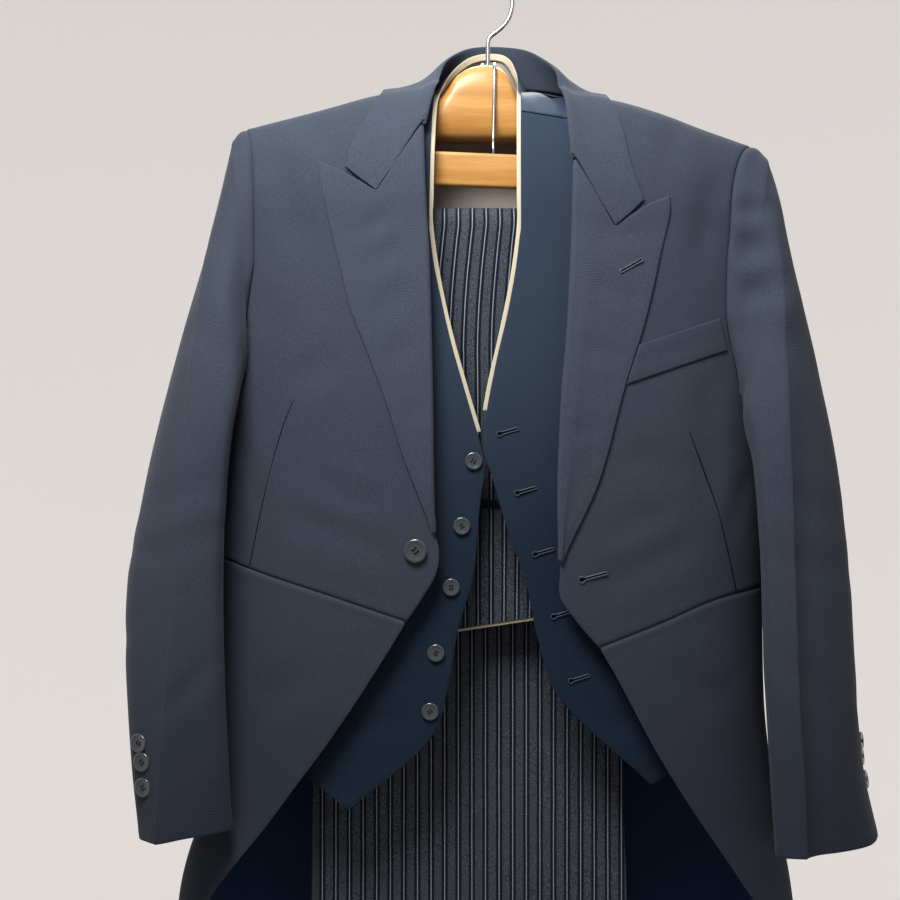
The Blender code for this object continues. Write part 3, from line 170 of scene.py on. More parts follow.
# Collar round the neck: roll x, y, z, then fall edge x, y, z, then stand base x, y, z
COLLAR_BACK = (
    (-45, 0, -86, -93, -3, -100.4, -64, -0.5, -98.9),
    (-38, 27, -66, -83, 40, -106, -57, 26, -93.4),
    (-19, 48, -51, -46, 66, -104, -35, 49.6, -85.9),
    (7, 55, -47, 6, 71, -101, 6, 59.5, -81.9),
    (35, 48, -52, 58, 66, -106, 47, 49.6, -86.9),
    (53, 27, -67, 94, 40, -110, 70, 26, -96.9),
    (60, 0, -82, 103, -3, -104.8, 76, -0.5, -102.4),
)
# Collar's end on the gorge seam: at the roll, between, the notch and the fall's corner: x, z
COLLAR_END = {
    "R": ((-60, -142.0), (-78.0, -171.0), (-97.8, -200.0), (-123.4, -180.2)),
    "L": ((72, -172.8), (86.8, -199.6), (105.0, -229.8), (129.4, -209.0)),
}
END_ROLL = 4.0
FALL_LIFT = 2.5
STAND_LIFT = 0.5
COLLAR_WALL = 1.8
# Sleeve rings: outer z, inner z, then x, y at the outer side, front outer, front crease, front inner,
# inner side, back inner, back and back outer
SLEEVE_RINGS = {
    "R": (
        (-146, -392, -230, -1, -222, -40, -211, -56, -211, -56, -240.6, -4, -240, 38, -218, 54, -226, 36),
        (-171, -394, -235, -3, -229, -42, -217, -66, -212, -62, -241.5, -8, -243, 38, -228, 58, -234, 38),
        (-234, -402, -249, -6, -241, -52, -226, -80, -213, -76, -242, -8, -246, 36, -246, 58, -252, 35),
        (-324, -425, -274, -12, -261, -62, -238, -92, -218, -84, -243, -10, -250, 34, -262, 54, -276, 30),
        (-422, -470, -297, -20, -282, -70, -250, -98, -223, -86, -245, -12, -256, 30, -276, 46, -296, 22),
        (-520, -530, -314, -32, -300, -78, -259, -101, -226, -86, -246, -15, -262, 24, -285, 36, -308, 12),
        (-600, -600, -314, -44, -302, -86, -266, -103, -225, -84, -248, -18, -263, 18, -285, 28, -306, 2),
        (-680, -680, -305, -56, -299, -91, -270, -104, -222, -78, -252, -26, -264, 10, -282, 18, -300, -10),
        (-748, -742, -297, -64, -292, -92, -268, -103, -219, -68, -256, -33, -267, 2, -281, 8, -293, -20),
    ),
    "L": (
        (-161, -412, 249, -1, 237, -42, 221, -58, 214, -56, 243.4, -4, 243, 38, 232, 54, 245, 36),
        (-190, -414, 257, -3, 249, -44, 232, -68, 216, -62, 244.4, -8, 247, 38, 246, 58, 256, 38),
        (-250, -420, 268, -5, 260, -52, 240, -80, 213, -74, 245.4, -8, 250, 36, 260, 56, 270, 34),
        (-340, -440, 288, -8, 277, -60, 247, -92, 219, -82, 246.4, -10, 254, 34, 272, 52, 288, 30),
        (-430, -480, 304, -12, 292, -68, 249, -98, 223, -87, 247.5, -12, 258, 30, 280, 46, 302, 22),
        (-530, -530, 314, -20, 300, -74, 250, -101, 226, -88, 249, -14, 262, 24, 286, 38, 308, 14),
        (-610, -610, 319, -24, 303, -78, 253, -102, 228, -88, 252, -18, 268, 16, 290, 30, 312, 6),
        (-690, -690, 325, -28, 307, -80, 259, -101, 233, -86, 258, -24, 272, 10, 295, 24, 318, 0),
        (-753, -765, 337, -34, 318, -80, 260, -98, 239, -80, 265, -28, 279, 4, 300, 16, 328, -6),
    ),
}
# Sleeve seams as eighths of the ring, from the outer side over the front
FRONT_SEAM_EIGHTH = 3.0
BACK_SEAM_EIGHTH = 6.5
SLEEVE_SEAM_GAP = 0.008
ARMHOLE_GAP = -0.9
CROWN_GAP = 1.2
SLEEVE_CLEAR = 1.2
# Chest welt corners on the wearer's left: x, z
WELT = ((196, -309), (202, -336))
WELT_AT_LAPEL_Z = (-333, -366)
WELT_WALL = 1.1
# Buttons: x, z
COAT_BUTTON = (-64, -506)
CUFF_SEATS = {
    "R": ((-291.8, -663.4), (-288.9, -681.9), (-288.0, -701.2)),
    "L": ((322, -673), (326, -693), (330, -713)),
}
VEST_BUTTONS = ((-15, -431), (-25, -486), (-34, -538), (-47, -594), (-52, -644))
BACK_BUTTON_TURN = 1.63
COAT_BUTTON_D = 20.0
CUFF_BUTTON_D = 16.0
CUFF_BUTTON_SINK = {"R": 0.3, "L": -0.35}
VEST_BUTTON_D = 15.0
# Section of a coat button, from its back over the rim into the dish: share of the radius, height
BUTTON_PROFILE = ((0.66, 0.3), (0.88, 0.55), (0.97, 0.95), (1.0, 1.45), (0.985, 1.95), (0.94, 2.4),
                  (0.87, 2.62), (0.79, 2.55), (0.71, 2.25), (0.62, 1.98), (0.5, 1.86))
# Distance of the four thread holes from a coat button's middle
HOLE_RADIUS = 2.35
DRILL_R = 0.95
# Thread of a coat button: its radius, then the height of its arch, the arch's rise and its foot
THREAD_R = 0.5
THREAD_ARCH = (1.95, 0.55, 0.6)
# Distance of a button's back from the cloth, and what turns the cuff buttons' normals to the front
BUTTON_OFF = 0.6
VEST_BUTTON_OFF = 0.5
CUFF_BUTTON_WAY = (0, -0.25, 0)
# Trousers: the bar they hang on, and each leg's edges along its length from the waist to the hem:
# length, left x, right x
BAR_Y = -22.0
BAR_Z = -226.0
BAR_R = 11.0
BAR_GAP = 0.5
LEG_THICK = 2.9
LEG_FOLD = 2.2
OVER_BAR = math.pi * (BAR_R + 3.5)
WAIST_DROP = 346.0
HEM_DROP = 654.0
WAIST_SLOPE = 0.16
WAIST_MIDDLE = 6.0
LEG_EDGES = {
    "R": ((0, -112, 108), (120, -128, 122), (250, -146, 124), (360, -144, 118), (480, -146, 117),
          (900, -158, 117), (1040, -160, 121)),
    "L": ((0, -112, 106), (120, -130, 120), (250, -148, 122), (360, -146, 116), (480, -150, 116),
          (900, -151, 120), (1040, -152, 125)),
}
# Hip pocket's welt: left x, right x, top z, bottom z
POCKET = (-104, 34, -465, -472)
# Wooden hanger: x, top z, bottom z, half depth, squareness of the section (2 is round)
HANGER = (
    (-186, -134.4, -156, 10, 2.2), (-180, -130.9, -158, 12, 2.2), (-143, -121.8, -152, 13, 2.2),
    (-92, -108.9, -146, 13, 2.2), (-64, -107.8, -146, 14, 2.2), (-45, -108, -146, 17, 2.6),
    (-37, -99.5, -146, 18, 3.2), (-29, -87.5, -146, 18, 3.4), (-16, -80, -146, 18, 3.4),
    (-4, -78, -146, 18, 3.4), (8, -80, -146.5, 18, 3.4), (17, -88.5, -146.5, 18, 3.4),
    (22, -99, -147, 18, 3.2), (27, -108.5, -147, 17, 2.6), (50, -109.5, -147, 14, 2.2),
    (76, -111.4, -147, 13, 2.2), (101, -112.9, -149, 13, 2.2), (153, -127.3, -162, 13, 2.2),
    (196, -146, -170, 11, 2.2), (203, -150, -168, 8, 2.2),
)
HOOK_WIRE_R = 2.0
HOOK_CENTRE = (-1.0, -20.0)
HOOK_R = 22.0
# Angle at which the hook's round ends
HOOK_END = 168.0
WIRE_R = 1.5
# Upper part of the wire that carries the rail
RAIL_WIRE = ((3.8, -21.5, -118), (4.2, -20.6, -97), (4.4, -19.0, -86), (4.5, -14, -80.6),
             (4.5, -6, -77.2), (4.4, 1.5, -77.2), (2.6, 5.4, -77.0), (-1.2, 6.4, -76.2), (-4.8, 4.0, -76.0),
             (-5.8, -0.5, -76.0))
RAIL = (-156.0, 130.0)
RAIL_Y = -28.5
RAIL_THICK = 10.0
RAIL_Z = -174.5
RAIL_SLOPE = -0.045
RAIL_TALL = 30.0
RAIL_ROUND = 3.0
LINK_THICK = 4.0
LINK_DEEP = 14
LINK_PAST = 26


# ---------------------------------------------------------------- surfaces shared with the solids
@functools.lru_cache(maxsize=None)
def cubic(rows, column):
    """Keys, values and monotone tangents of one column of a table."""
    rows = sorted(rows)
    keys = [float(row[0]) for row in rows]
    values = [float(row[column]) for row in rows]
    slopes = [(values[i + 1] - values[i]) / (keys[i + 1] - keys[i]) for i in range(len(keys) - 1)]
    tangents = [slopes[0]]
    for before, after in zip(slopes, slopes[1:]):
        tangents.append(0.0 if before * after <= 0 else 2 * before * after / (before + after))
    return keys, values, tangents + [slopes[-1]]


def track(rows, column, at):
    """Read a column at a key (first column) with a monotone cubic, held past the ends."""
    keys, values, tangents = cubic(rows, column)
    if at <= keys[0]:
        return values[0]
    if at >= keys[-1]:
        return values[-1]
    k = bisect.bisect_right(keys, at) - 1
    step = keys[k + 1] - keys[k]
    t = (at - keys[k]) / step
    return (values[k] * (1 + 2 * t) * (1 - t) ** 2 + tangents[k] * step * t * (1 - t) ** 2
            + values[k + 1] * t * t * (3 - 2 * t) - tangents[k + 1] * step * t * t * (1 - t))


@functools.lru_cache(maxsize=None)
def measured(points):
    """The points of an open line, each after its distance along the line."""
    runs = [0.0]
    for a, b in zip(points, points[1:]):
        runs.append(runs[-1] + math.dist(a, b))
    return tuple((run, *point) for run, point in zip(runs, points))


def along(points, share):
    """Point at a share 0..1 of an open line's length, on a smooth curve through its points."""
    rows = measured(points)
    return np.array([track(rows, c, share * rows[-1][0]) for c in range(1, len(rows[0]))])


def spread(start, end, count):
    return [start + (end - start) * i / (count - 1) for i in range(count)]


def mix(a, b, share):
    return a + (b - a) * share


class Body:
    """A rounded body section that closes into the shoulders above the yoke."""

    def __init__(self, sections, ridge, edge, armhole, underarm):
        self.sections = sections
        self.ridge = ridge
        self.edge = edge
        self.armhole = armhole
        self.underarm = underarm

    def turn(self, side, x, z):
        """Turn on the front (0 at the centre, 1 at the side) that lies at x."""
        half, centre = track(self.sections, 1, z), track(self.sections, 4, z)
        share = (x - centre) * SIDES[side] / half
        grown = min(abs(share), 1.0) ** (SECTION_POWER / 2)
        return math.copysign(math.asin(grown) * 2 / math.pi, share)

    def ring(self, side, turn, z):
        """Point of the section at height z; a turn of 1 is the side and 2 the back's centre."""
        half, front, back, centre = [track(self.sections, c, z) for c in (1, 2, 3, 4)]
        sine, cosine = math.sin(turn * math.pi / 2), math.cos(turn * math.pi / 2)
        power = 2 / SECTION_POWER
        x = centre + SIDES[side] * half * math.copysign(abs(sine) ** power, sine)
        y = -math.copysign((front if cosine > 0 else back) * abs(cosine) ** power, cosine)
        return np.array((x, y, z))

    def inner(self, side, z):
        return self.turn(side, track(self.edge[side], 1, z), z)

    def outer(self, side, z):
        """Turn of the forepart's outer edge: armhole, then side seam."""
        rows = self.armhole[side]
        low_z, low_x = rows[-1]
        if z >= low_z:
            return self.turn(side, track(rows, 1, z), z)
        under = ((self.underarm[side], SIDE_SEAM_TURN), (low_z, self.turn(side, low_x, low_z)))
        return track(under, 1, z)

    def yoke(self, top, low, angle):
        """Quarter ellipse from a point on the ridge or neck down to one on the yoke section."""
        sine, cosine = math.sin(angle), math.cos(angle)
        return np.array((*mix(top[:2], low[:2], sine), mix(low[2], top[2], cosine)))

    def front_yoke(self, side, u, angle):
        rows = self.ridge[side]
        top_x = mix(rows[0][0], rows[-1][0], u)
        top = np.array((top_x, -RIDGE_GAP, track(rows, 1, top_x)))
        turn = mix(self.inner(side, YOKE_Z), self.outer(side, YOKE_Z), u)
        return self.yoke(top, self.ring(side, turn, YOKE_Z), angle)

    def skin(self, side, x, z, lift=0.0):
        """Front surface under (x, z) moved out along its normal by lift, and that normal."""
        def depth(px, pz):
            if pz <= YOKE_Z:
                return self.ring(side, self.turn(side, px, pz), pz)[1]
            lo, hi = -0.2, 1.2
            for _ in range(24):
                u = (lo + hi) / 2
                rows = self.ridge[side]
                top_z = track(rows, 1, mix(rows[0][0], rows[-1][0], u))
                angle = math.acos(min((pz - YOKE_Z) / (top_z - YOKE_Z), 1.0))
                point = self.front_yoke(side, u, angle)
                if (point[0] - px) * SIDES[side] < 0:
                    lo = u
                else:
                    hi = u
            return point[1]

        slope_x = (depth(x + 1, z) - depth(x - 1, z)) / 2
        slope_z = (depth(x, z + 1) - depth(x, z - 1)) / 2
        normal = np.array((slope_x, -1.0, slope_z))
        normal /= np.linalg.norm(normal)
        return np.array((x, depth(x, z), z)) + normal * lift, normal

    def on(self, side, x, z, lift=0.0):
        return self.skin(side, x, z, lift)[0]

    def clear(self, point, lift):
        """Move a point out of the section, so that it lies at least lift outside it."""
        half, front, back, centre = [track(self.sections, c, point[2]) for c in (1, 2, 3, 4)]
        x, y = point[0] - centre, point[1]
        depth = front if y < 0 else back
        share = (abs(x / half) ** SECTION_POWER + abs(y / depth) ** SECTION_POWER) ** (1 / SECTION_POWER)
        least = 1 + lift / math.hypot(x, y)
        if share >= least:
            return point
        return np.array((centre + x * least / share, y * least / share, point[2]))


COAT = Body(COAT_SECTIONS, COAT_RIDGE, COAT_EDGE, COAT_ARMHOLE, UNDERARM_Z)
VEST = Body(VEST_SECTIONS, VEST_RIDGE, VEST_EDGE, VEST_ARMHOLE, VEST_UNDERARM_Z)


def waist_z(side, turn):
    x = COAT.ring(side, min(turn, 1.0), -550)[0]
    return track(WAIST_SEAM[side], 1, x)


def coat_front_point(side, u, v):
    """Forepart from the neck and front edge (u 0) to the armhole and side seam (u 1)."""
    if v < YOKE_SHARE:
        return COAT.front_yoke(side, u, v / YOKE_SHARE * math.pi / 2)
    t = (v - YOKE_SHARE) / (1 - YOKE_SHARE)
    z = YOKE_Z
    for _ in range(5):
        turn = mix(COAT.inner(side, z), COAT.outer(side, z), u)
        z = mix(YOKE_Z, waist_z(side, turn) + SEAM_GAP / 2, t)
    return COAT.ring(side, turn, z)


def back_seam(side, z):
    return track(BACK_SEAM, 1, z - UNDERARM_Z[side])


def back_armhole(side, z):
    return track(BACK_ARMHOLE, 1, z - UNDERARM_Z[side])


def coat_back_line(side):
    """Shoulder seam from the tip to the neck, then the neck seam to the centre back."""
    ridge = COAT_RIDGE[side][:0:-1]
    neck = COAT_NECK[:4] if side == "R" else COAT_NECK[:2:-1]
    line = [(x, RIDGE_GAP, z) for x, z in ridge] + [tuple(float(c) for c in p) for p in neck]
    line[-1] = (line[-1][0] + SIDES[side] * SEAM_GAP, *line[-1][1:])
    return tuple(line)


def coat_back_point(side, u, v):
    """Back and tail from the armhole and side-back seam (u 0) to the centre back (u 1)."""
    line = coat_back_line(side)

    def turn_at(z):
        seam = back_armhole(side, z) if z > UNDERARM_Z[side] + SIDE_BODY_RISE else back_seam(side, z)
        return mix(seam + TURN_GAP, 2.0 - CENTRE_GAP, u)

    if v < YOKE_SHARE:
        low = COAT.ring(side, turn_at(YOKE_Z), YOKE_Z)
        return COAT.yoke(along(line, u), low, v / YOKE_SHARE * math.pi / 2)
    z = mix(YOKE_Z, TAIL_HEM_Z, (v - YOKE_SHARE) / (1 - YOKE_SHARE))
    return COAT.ring(side, turn_at(z), z)


def skirt_edge(side):
    """Cut-away edge as turns round the body and heights."""
    front = tuple((COAT.turn(side, x, z), z) for x, z in SKIRT_FRONT[side])
    return front + SKIRT_ROUND


def skirt_point(side, turn, v):
    """Skirt from the waist seam (v 0) to the cut-away edge (v 1); the last turn is the pleat."""
    edge = skirt_edge(side)
    top = waist_z(side, turn) - SEAM_GAP / 2
    bottom = min(track(edge, 1, turn), top - 2.0)
    z = mix(top, bottom, v)
    pleat = mix(turn, back_seam(side, z) - TURN_GAP, max(0.0, (turn - 1.4) / (PLEAT_TURN - 1.4)))
    return COAT.ring(side, pleat, z)


def lapel_point(side, u, v):
    """Lapel outline filled between the roll line, top edge, outer edge and break: x, z."""
    top, outer = LAPEL_TOP[side], LAPEL_OUTER[side]
    start, end = top[0][1], outer[-1][1] + 1.5

    def roll_at(z):
        return np.array((track(COAT_EDGE[side], 1, z), z))

    knots = tuple(zip(LAPEL_TOP_SHARES, top))
    k = bisect.bisect_right(LAPEL_TOP_SHARES[1:3], u)
    (u0, a), (u1, b) = knots[k], knots[k + 1]
    head = mix(np.array(a, float), np.array(b, float), (u - u0) / (u1 - u0))
    head[0] += (roll_at(start)[0] - top[0][0]) * (1 - u)
    foot = mix(roll_at(end), np.array(outer[-1], float), u)
    corners = mix(mix(roll_at(start), np.array(top[3], float), u), foot, v)
    return (mix(head, foot, v) + mix(roll_at(mix(start, end, v)), along(outer, v), u)) - corners


def lapel_rows(side, vs, folds, crowns):
    """Rows of lapel points: the fold's half round at the roll line, then across the lapel."""
    rows = []
    for v in vs:
        x, z = lapel_point(side, 0.0, v)
        shrink = min(1.0, 0.35 + 6 * (1 - v))
        row = []
        for angle in folds:
            lift = LAPEL_LIFT + LAPEL_ROLL * math.sin(math.radians(angle))
            point = COAT.on(side, x, z, lift)
            point[0] -= SIDES[side] * LAPEL_ROLL * math.cos(math.radians(angle))
            row.append(point)
        for u, crown in crowns:
            x, z = lapel_point(side, u, v)
            row.append(COAT.on(side, x, z, LAPEL_LIFT + crown * shrink))
        rows.append(row)
    return rows


def collar_front_row(side, base_z, roll, edge, lift):
    """Collar row on a forepart: across the fall from its edge to the roll, then the stand."""
    edge_x = track(COAT_EDGE[side], 1, base_z)
    fall = [COAT.on(side, *point, FALL_LIFT + rise) for point, rise in zip(edge, (0.0, 0.2, 1.2))]
    crest = COAT.on(side, roll + SIDES[side] * 3.0, base_z + 1.0, FALL_LIFT + lift)
    turn = COAT.on(side, roll, base_z, FALL_LIFT + lift - 2.4)
    base = COAT.on(side, edge_x, base_z, STAND_LIFT)
    return [*fall, crest, turn, base]


def collar_fronts(side):
    """Rows on a forepart from the gorge up: base z, roll x, lift, then three points of the fall."""
    gorge, bend, notch, corner = [np.array(point, float) for point in COLLAR_END[side]]
    rows = [(gorge[1], gorge[0] - SIDES[side] * END_ROLL, 1.8, corner, notch, bend)]
    for base_z, roll_x, lift, x, z in COLLAR_FRONT[side]:
        roll, rim = np.array((roll_x, base_z), float), np.array((x, z), float)
        rows.append((base_z, roll_x, lift, *[mix(rim, roll, share) for share in (0.0, 0.35, 0.7)]))
    between = tuple(mix(a, b, 0.5) for a, b in zip(rows[0], rows[1]))
    rows.insert(1, between)
    return [collar_front_row(side, row[0], row[1], row[3:], row[2]) for row in rows]


def collar_rows():
    """Collar rows from the wearer's right gorge, round the neck, to the left one."""
    fronts = {side: collar_fronts(side) for side in SIDES}
    middle = []
    for station in COLLAR_BACK:
        roll, edge, base = [np.array(station[i:i + 3], float) for i in (0, 3, 6)]
        away = (edge - roll) * (1, 1, 0)
        away /= np.linalg.norm(away)
        seam = base + (0, 0, 4.5) + away * 3.6
        crest = roll + away * 3.0 + (0, 0, 0.6)
        middle.append([edge, mix(edge, seam, 0.6), mix(seam, crest, 0.45) + away * 1.2, crest,
                       roll - (0, 0, 1.6), base])
    return fronts["R"] + middle + fronts["L"][::-1]


def armhole_point(side, eighth):
    """Armhole on the coat at an eighth of the sleeve's ring (0 at the shoulder tip)."""
    eighth %= 8
    tip_z = COAT_RIDGE[side][-1][1]
    under = UNDERARM_Z[side]
    z = (tip_z + under) / 2 + (tip_z - under) / 2 * math.cos(eighth * math.pi / 4)
    front = eighth <= 4
    turn_at = COAT.outer if front else back_armhole
    if z > YOKE_Z:
        angle = math.acos((z - YOKE_Z) / (tip_z - YOKE_Z))
        tip = np.array((COAT_RIDGE[side][-1][0], 0.0, tip_z))
        return COAT.yoke(tip, COAT.ring(side, turn_at(side, YOKE_Z), YOKE_Z), angle)
    return COAT.ring(side, turn_at(side, z), z)


def hermite(a, b, c, d, t):
    """Smooth step from b to c, with a and d their neighbours."""
    return 0.5 * (2 * b + (c - a) * t + (2 * a - 5 * b + 4 * c - d) * t * t
                  + (3 * b - a - 3 * c + d) * t ** 3)


def ring_point(side, number, eighth):
    """Point of a sleeve ring, on a periodic curve through its eight named corners."""
    row = SLEEVE_RINGS[side][number]
    z = (row[0] + row[1]) / 2 + (row[0] - row[1]) / 2 * math.cos(eighth * math.pi / 4)
    k = math.floor(eighth)
    corners = [np.array(row[2 + 2 * ((k + d) % 8):4 + 2 * ((k + d) % 8)], float) for d in (-1, 0, 1, 2)]
    return np.array((*hermite(*corners, eighth - k), z))


def sleeve_point(side, down, eighth):
    """Sleeve surface at a ring number (0 at the armhole) and an eighth round it."""
    last = len(SLEEVE_RINGS[side])

    def knot(i):
        if i == 0:
            seam = armhole_point(side, eighth)
            cosine = math.cos(eighth * math.pi / 4)
            out = ARMHOLE_GAP + CROWN_GAP * max(0.0, cosine)
            return seam + np.array((SIDES[side] * out, 0, ARMHOLE_GAP * max(0.0, -cosine)))
        return ring_point(side, i - 1, eighth)

    k = min(int(down), last - 1)
    t = down - k
    if k == 0:
        return mix(knot(0), knot(1), t)
    before = knot(k - 1) if k > 1 else 2 * knot(k) - knot(k + 1)
    after = knot(k + 2) if k + 2 <= last else 2 * knot(k + 1) - knot(k)
    point = hermite(before, knot(k), knot(k + 1), after, t)
    return COAT.clear(point, SLEEVE_CLEAR) if point[2] < YOKE_Z else point


def sleeve_front(side, x, z):
    """Front-facing sleeve surface under (x, z) near the cuff, with its normal."""
    places = [(down, eighth) for down in spread(6.5, 9, 26) for eighth in spread(0, 2.4, 25)]
    down, eighth = min(places, key=lambda c: math.hypot(*(sleeve_point(side, *c)[[0, 2]] - (x, z))))
    point = sleeve_point(side, down, eighth)
    normal = np.cross(sleeve_point(side, down + 0.1, eighth) - point,
                      sleeve_point(side, down, eighth + 0.1) - point)
    normal *= math.copysign(1.0, normal[0] * SIDES[side])
    return point, normal / np.linalg.norm(normal)


def vest_lap(side, x, z):
    """Shift to the front by which the wearer's left front laps over the right one."""
    if side == "R":
        return 0.0
    return VEST_LAP * min(max((90 - x) / 60, 0.0), 1.0) * min(max((-z - 120) / 120, 0.0), 1.0)


def vest_front_point(side, u, v):
    """Waistcoat front from the neck and front edge (u 0) to the armhole, side and hem (u 1)."""
    if v < YOKE_SHARE:
        point = VEST.front_yoke(side, u, v / YOKE_SHARE * math.pi / 2)
    else:
        z = mix(YOKE_Z, VEST_EDGE[side][-1][0] + 0.8, (v - YOKE_SHARE) / (1 - YOKE_SHARE))
        turn = mix(VEST.inner(side, z), track(VEST_OUTER[side], 1, z), u)
        point = VEST.ring(side, turn, z)
    point[1] -= vest_lap(side, point[0], point[2])
    return point


VEST_TOP_LINE = tuple([(x, RIDGE_GAP, z) for x, z in VEST_RIDGE["R"][:0:-1]]
                      + [tuple(float(c) for c in point) for point in VEST_NECK]
                      + [(x, RIDGE_GAP, z) for x, z in VEST_RIDGE["L"][1:]])


def vest_back_point(u, v):
    """Waistcoat back from the wearer's right armhole (u 0) to the left one (u 1)."""
    side = "R" if u <= 0.5 else "L"

    def turn_at(z):
        return 2.0 - (2.0 - track(VEST_BACK_ARMHOLE, 1, z)) * abs(2 * u - 1)

    if v < YOKE_SHARE:
        low = VEST.ring(side, turn_at(YOKE_Z), YOKE_Z)
        return VEST.yoke(along(VEST_TOP_LINE, u), low, v / YOKE_SHARE * math.pi / 2)
    z = mix(YOKE_Z, VEST_BACK_HEM_Z, (v - YOKE_SHARE) / (1 - YOKE_SHARE))
    return VEST.ring(side, turn_at(z), z)


def neck_line():
    """Neck edge of the waistcoat from the V, round the back, to the V: point, normal."""
    def read(surface, u, v):
        du = surface(min(u + 1e-3, 1.0), v) - surface(max(u - 1e-3, 0.0), v)
        dv = surface(u, v + 1e-3) - surface(u, max(v - 1e-3, 0.0))
        normal = np.cross(du, dv)
        normal /= np.linalg.norm(normal)
        return surface(u, v), normal * math.copysign(1.0, normal[1])

    def front(side, v):
        point, normal = read(lambda a, b: vest_front_point(side, a, b), 0.0, v)
        return point, normal * math.copysign(1.0, -normal[1])

    rows = measured(VEST_TOP_LINE)
    first = rows[len(VEST_RIDGE["R"]) - 1][0] / rows[-1][0]
    last = rows[-len(VEST_RIDGE["L"])][0] / rows[-1][0]
    vs = [0.10, 0.16, 0.23, 0.30, 0.35, 0.41, 0.47, 0.53, 0.58]
    line = [front("R", v) for v in vs[::-1]]
    for u in spread(first + 0.012, last - 0.012, 11):
        line.append((vest_back_point(u, 0.0), read(vest_back_point, u, 0.12)[1]))
    return line + [front("L", v) for v in vs[:-1] + [0.565]]


def fold_path(distance, offset):
    """Point and outward way on the path over the bar; distance runs from the waist."""
    reach = BAR_R + offset
    if distance < WAIST_DROP:
        return np.array((BAR_Y - reach, BAR_Z - WAIST_DROP + distance)), np.array((-1.0, 0.0))
    if distance < WAIST_DROP + OVER_BAR:
        angle = math.pi * (1 - (distance - WAIST_DROP) / OVER_BAR)
        way = np.array((math.cos(angle), math.sin(angle)))
        return np.array((BAR_Y, BAR_Z)) + way * reach, way
    return np.array((BAR_Y + reach, BAR_Z - (distance - WAIST_DROP - OVER_BAR))), np.array((1.0, 0.0))


def rail_z(x):
    return RAIL_Z + RAIL_SLOPE * (x + 54)


# ---------------------------------------------------------------- looks: tables
# Metres from one light stripe to the next, then the ribs' waves in radians to a metre of cloth
STRIPE = 0.0121
WOOL_RIB = 3000.0
SATIN_RIB = 4200.0
STRIPED_RIB = 3600.0
DART_X = -37.0
# Thickness of a trouser leg's wall, and how deep its creases may sink
LEG_CLOTH = 1.15
LEG_DEEPEST = -0.45
LAPEL_HOLE_RISE = 1.1
GORGE_OFF = 1.1
FLOOR_Z = -2.4
# Fine cloth: its grid's coarseness, the distances of its outermost lines from an edge, the share of a
# path over which a crease fades in and out, the rim's rounding and swell as shares of the thickness,
# and the length of its slowest wave
GRID_STEP = 1.2
EDGE_LINES = (0.0, 0.7, 1.6, 2.9)
FADE = 0.3
RIM_ROUNDING = 0.28
RIM_SWELL = 0.3
SWAY_LENGTH = 190
# Swells beside a crease: rise, distance and width as shares of the crease's own
SWELL_RISE = 0.45
SWELL_AWAY = 1.7
SWELL_WIDTH = 1.2
# Relief beside an edge, and the roll of a sleeve's head: height, distance from the edge, width
SEAM_GROOVE = (-0.9, 0, 1.3)
SEAM_LIP = (0.22, 4.5, 2.5)
EDGE_SWELL = (0.25, 6, 4)
HEAD_ROLL = (1.3, 7, 5.5)
# Largest share of its flat size that a cloth's area may state
# Camera: focal length and sensor width, then its place
LENS = (57.96, 36.0)
EYE = (-0.035, -1.30, -0.4216)
WORLD_LIGHT = 0.21
# Soft lamps: name, place, aim, size, watts, tint
LAMPS = (
    ("key", (-0.25, -0.64, 0.42), (-0.02, 0.0, -0.3), 0.5, 20.0, (0.95, 0.98, 1.0)),
    ("side", (0.9, -1.2, 0.6), (0.05, 0.0, -0.25), 0.9, 2.0, (0.92, 0.965, 1.0)),
    ("back", (0.2, 1.4, 1.1), (0.0, 0.0, -0.25), 1.0, 30.0, (0.97, 0.985, 1.0)),
    ("top", (0.0, 0.1, 1.7), (0.0, 0.0, -0.3), 1.6, 12.0, (0.97, 0.985, 1.0)),
)
# Glow of the studio wall behind the garment and before it, and its turn from one to the other
WALL_GLOW = ((0.51, 0.48, 0.462), (0.08, 0.079, 0.078))
WALL_TURN = (-1.6, 1.0)
# Underlap of the back vent: top z, bottom z
VENT_LAP = (-592, -1064.5)
# Darts and buttonholes: x, z
DARTS = {
    "R": ((-168, -380), (-177, -401), (-195, -466), (-207, -520)),
    "L": ((168, -406), (181, -440), (194, -475), (211, -543)),
}
VEST_HOLES = ((14, -406), (29, -456), (44, -508), (60, -561), (75, -616))
COAT_HOLE = (85, -528)
LAPEL_HOLE = (118, -266)
# Their tilt in degrees, length and the eye's radius
VEST_HOLE_SHAPE = (16, 19, 2.2)
COAT_HOLE_SHAPE = (15, 25, 2.7)
LAPEL_HOLE_SHAPE = (30, 22, 0)
# Half width and radius of the corded loop, half width of the slit in it
CORD_WIDE = 1.15
CORD_R = 0.62
SLIT_WIDE = 0.75
# Radii of the drawn seams: near-black rods, painted shade in the gorge gaps, along the waistcoat's yoke seam
# and down the darts
GORGE_SEAM_R = 0.5
YOKE_SEAM_R = 0.4
DART_SEAM_R = 0.42
# Pressed crease down the sleeve, which opens as the cuff's vent: ring number, eighth
SLEEVE_CREASE = {
    "R": ((2.4, 0.1), (3.0, 0.55), (3.3, 1.1), (3.8, 1.4), (4.4, 1.66), (5.1, 1.78), (6.3, 1.93),
          (7.3, 1.95), (8.0, 1.89), (8.6, 1.8), (9.0, 1.73)),
    "L": ((1.6, 0.9), (2.2, 1.25), (2.9, 1.62), (3.5, 1.88), (4.2, 2.03), (5.2, 2.04), (6.0, 2.02),
          (7.2, 2.05), (8.0, 2.05), (9.0, 2.0)),
}
CREASE_RISE = (3.6, 6.6)
CREASE_WIDTH = 26.0
VENT_STEP = (0.9, 2.4)
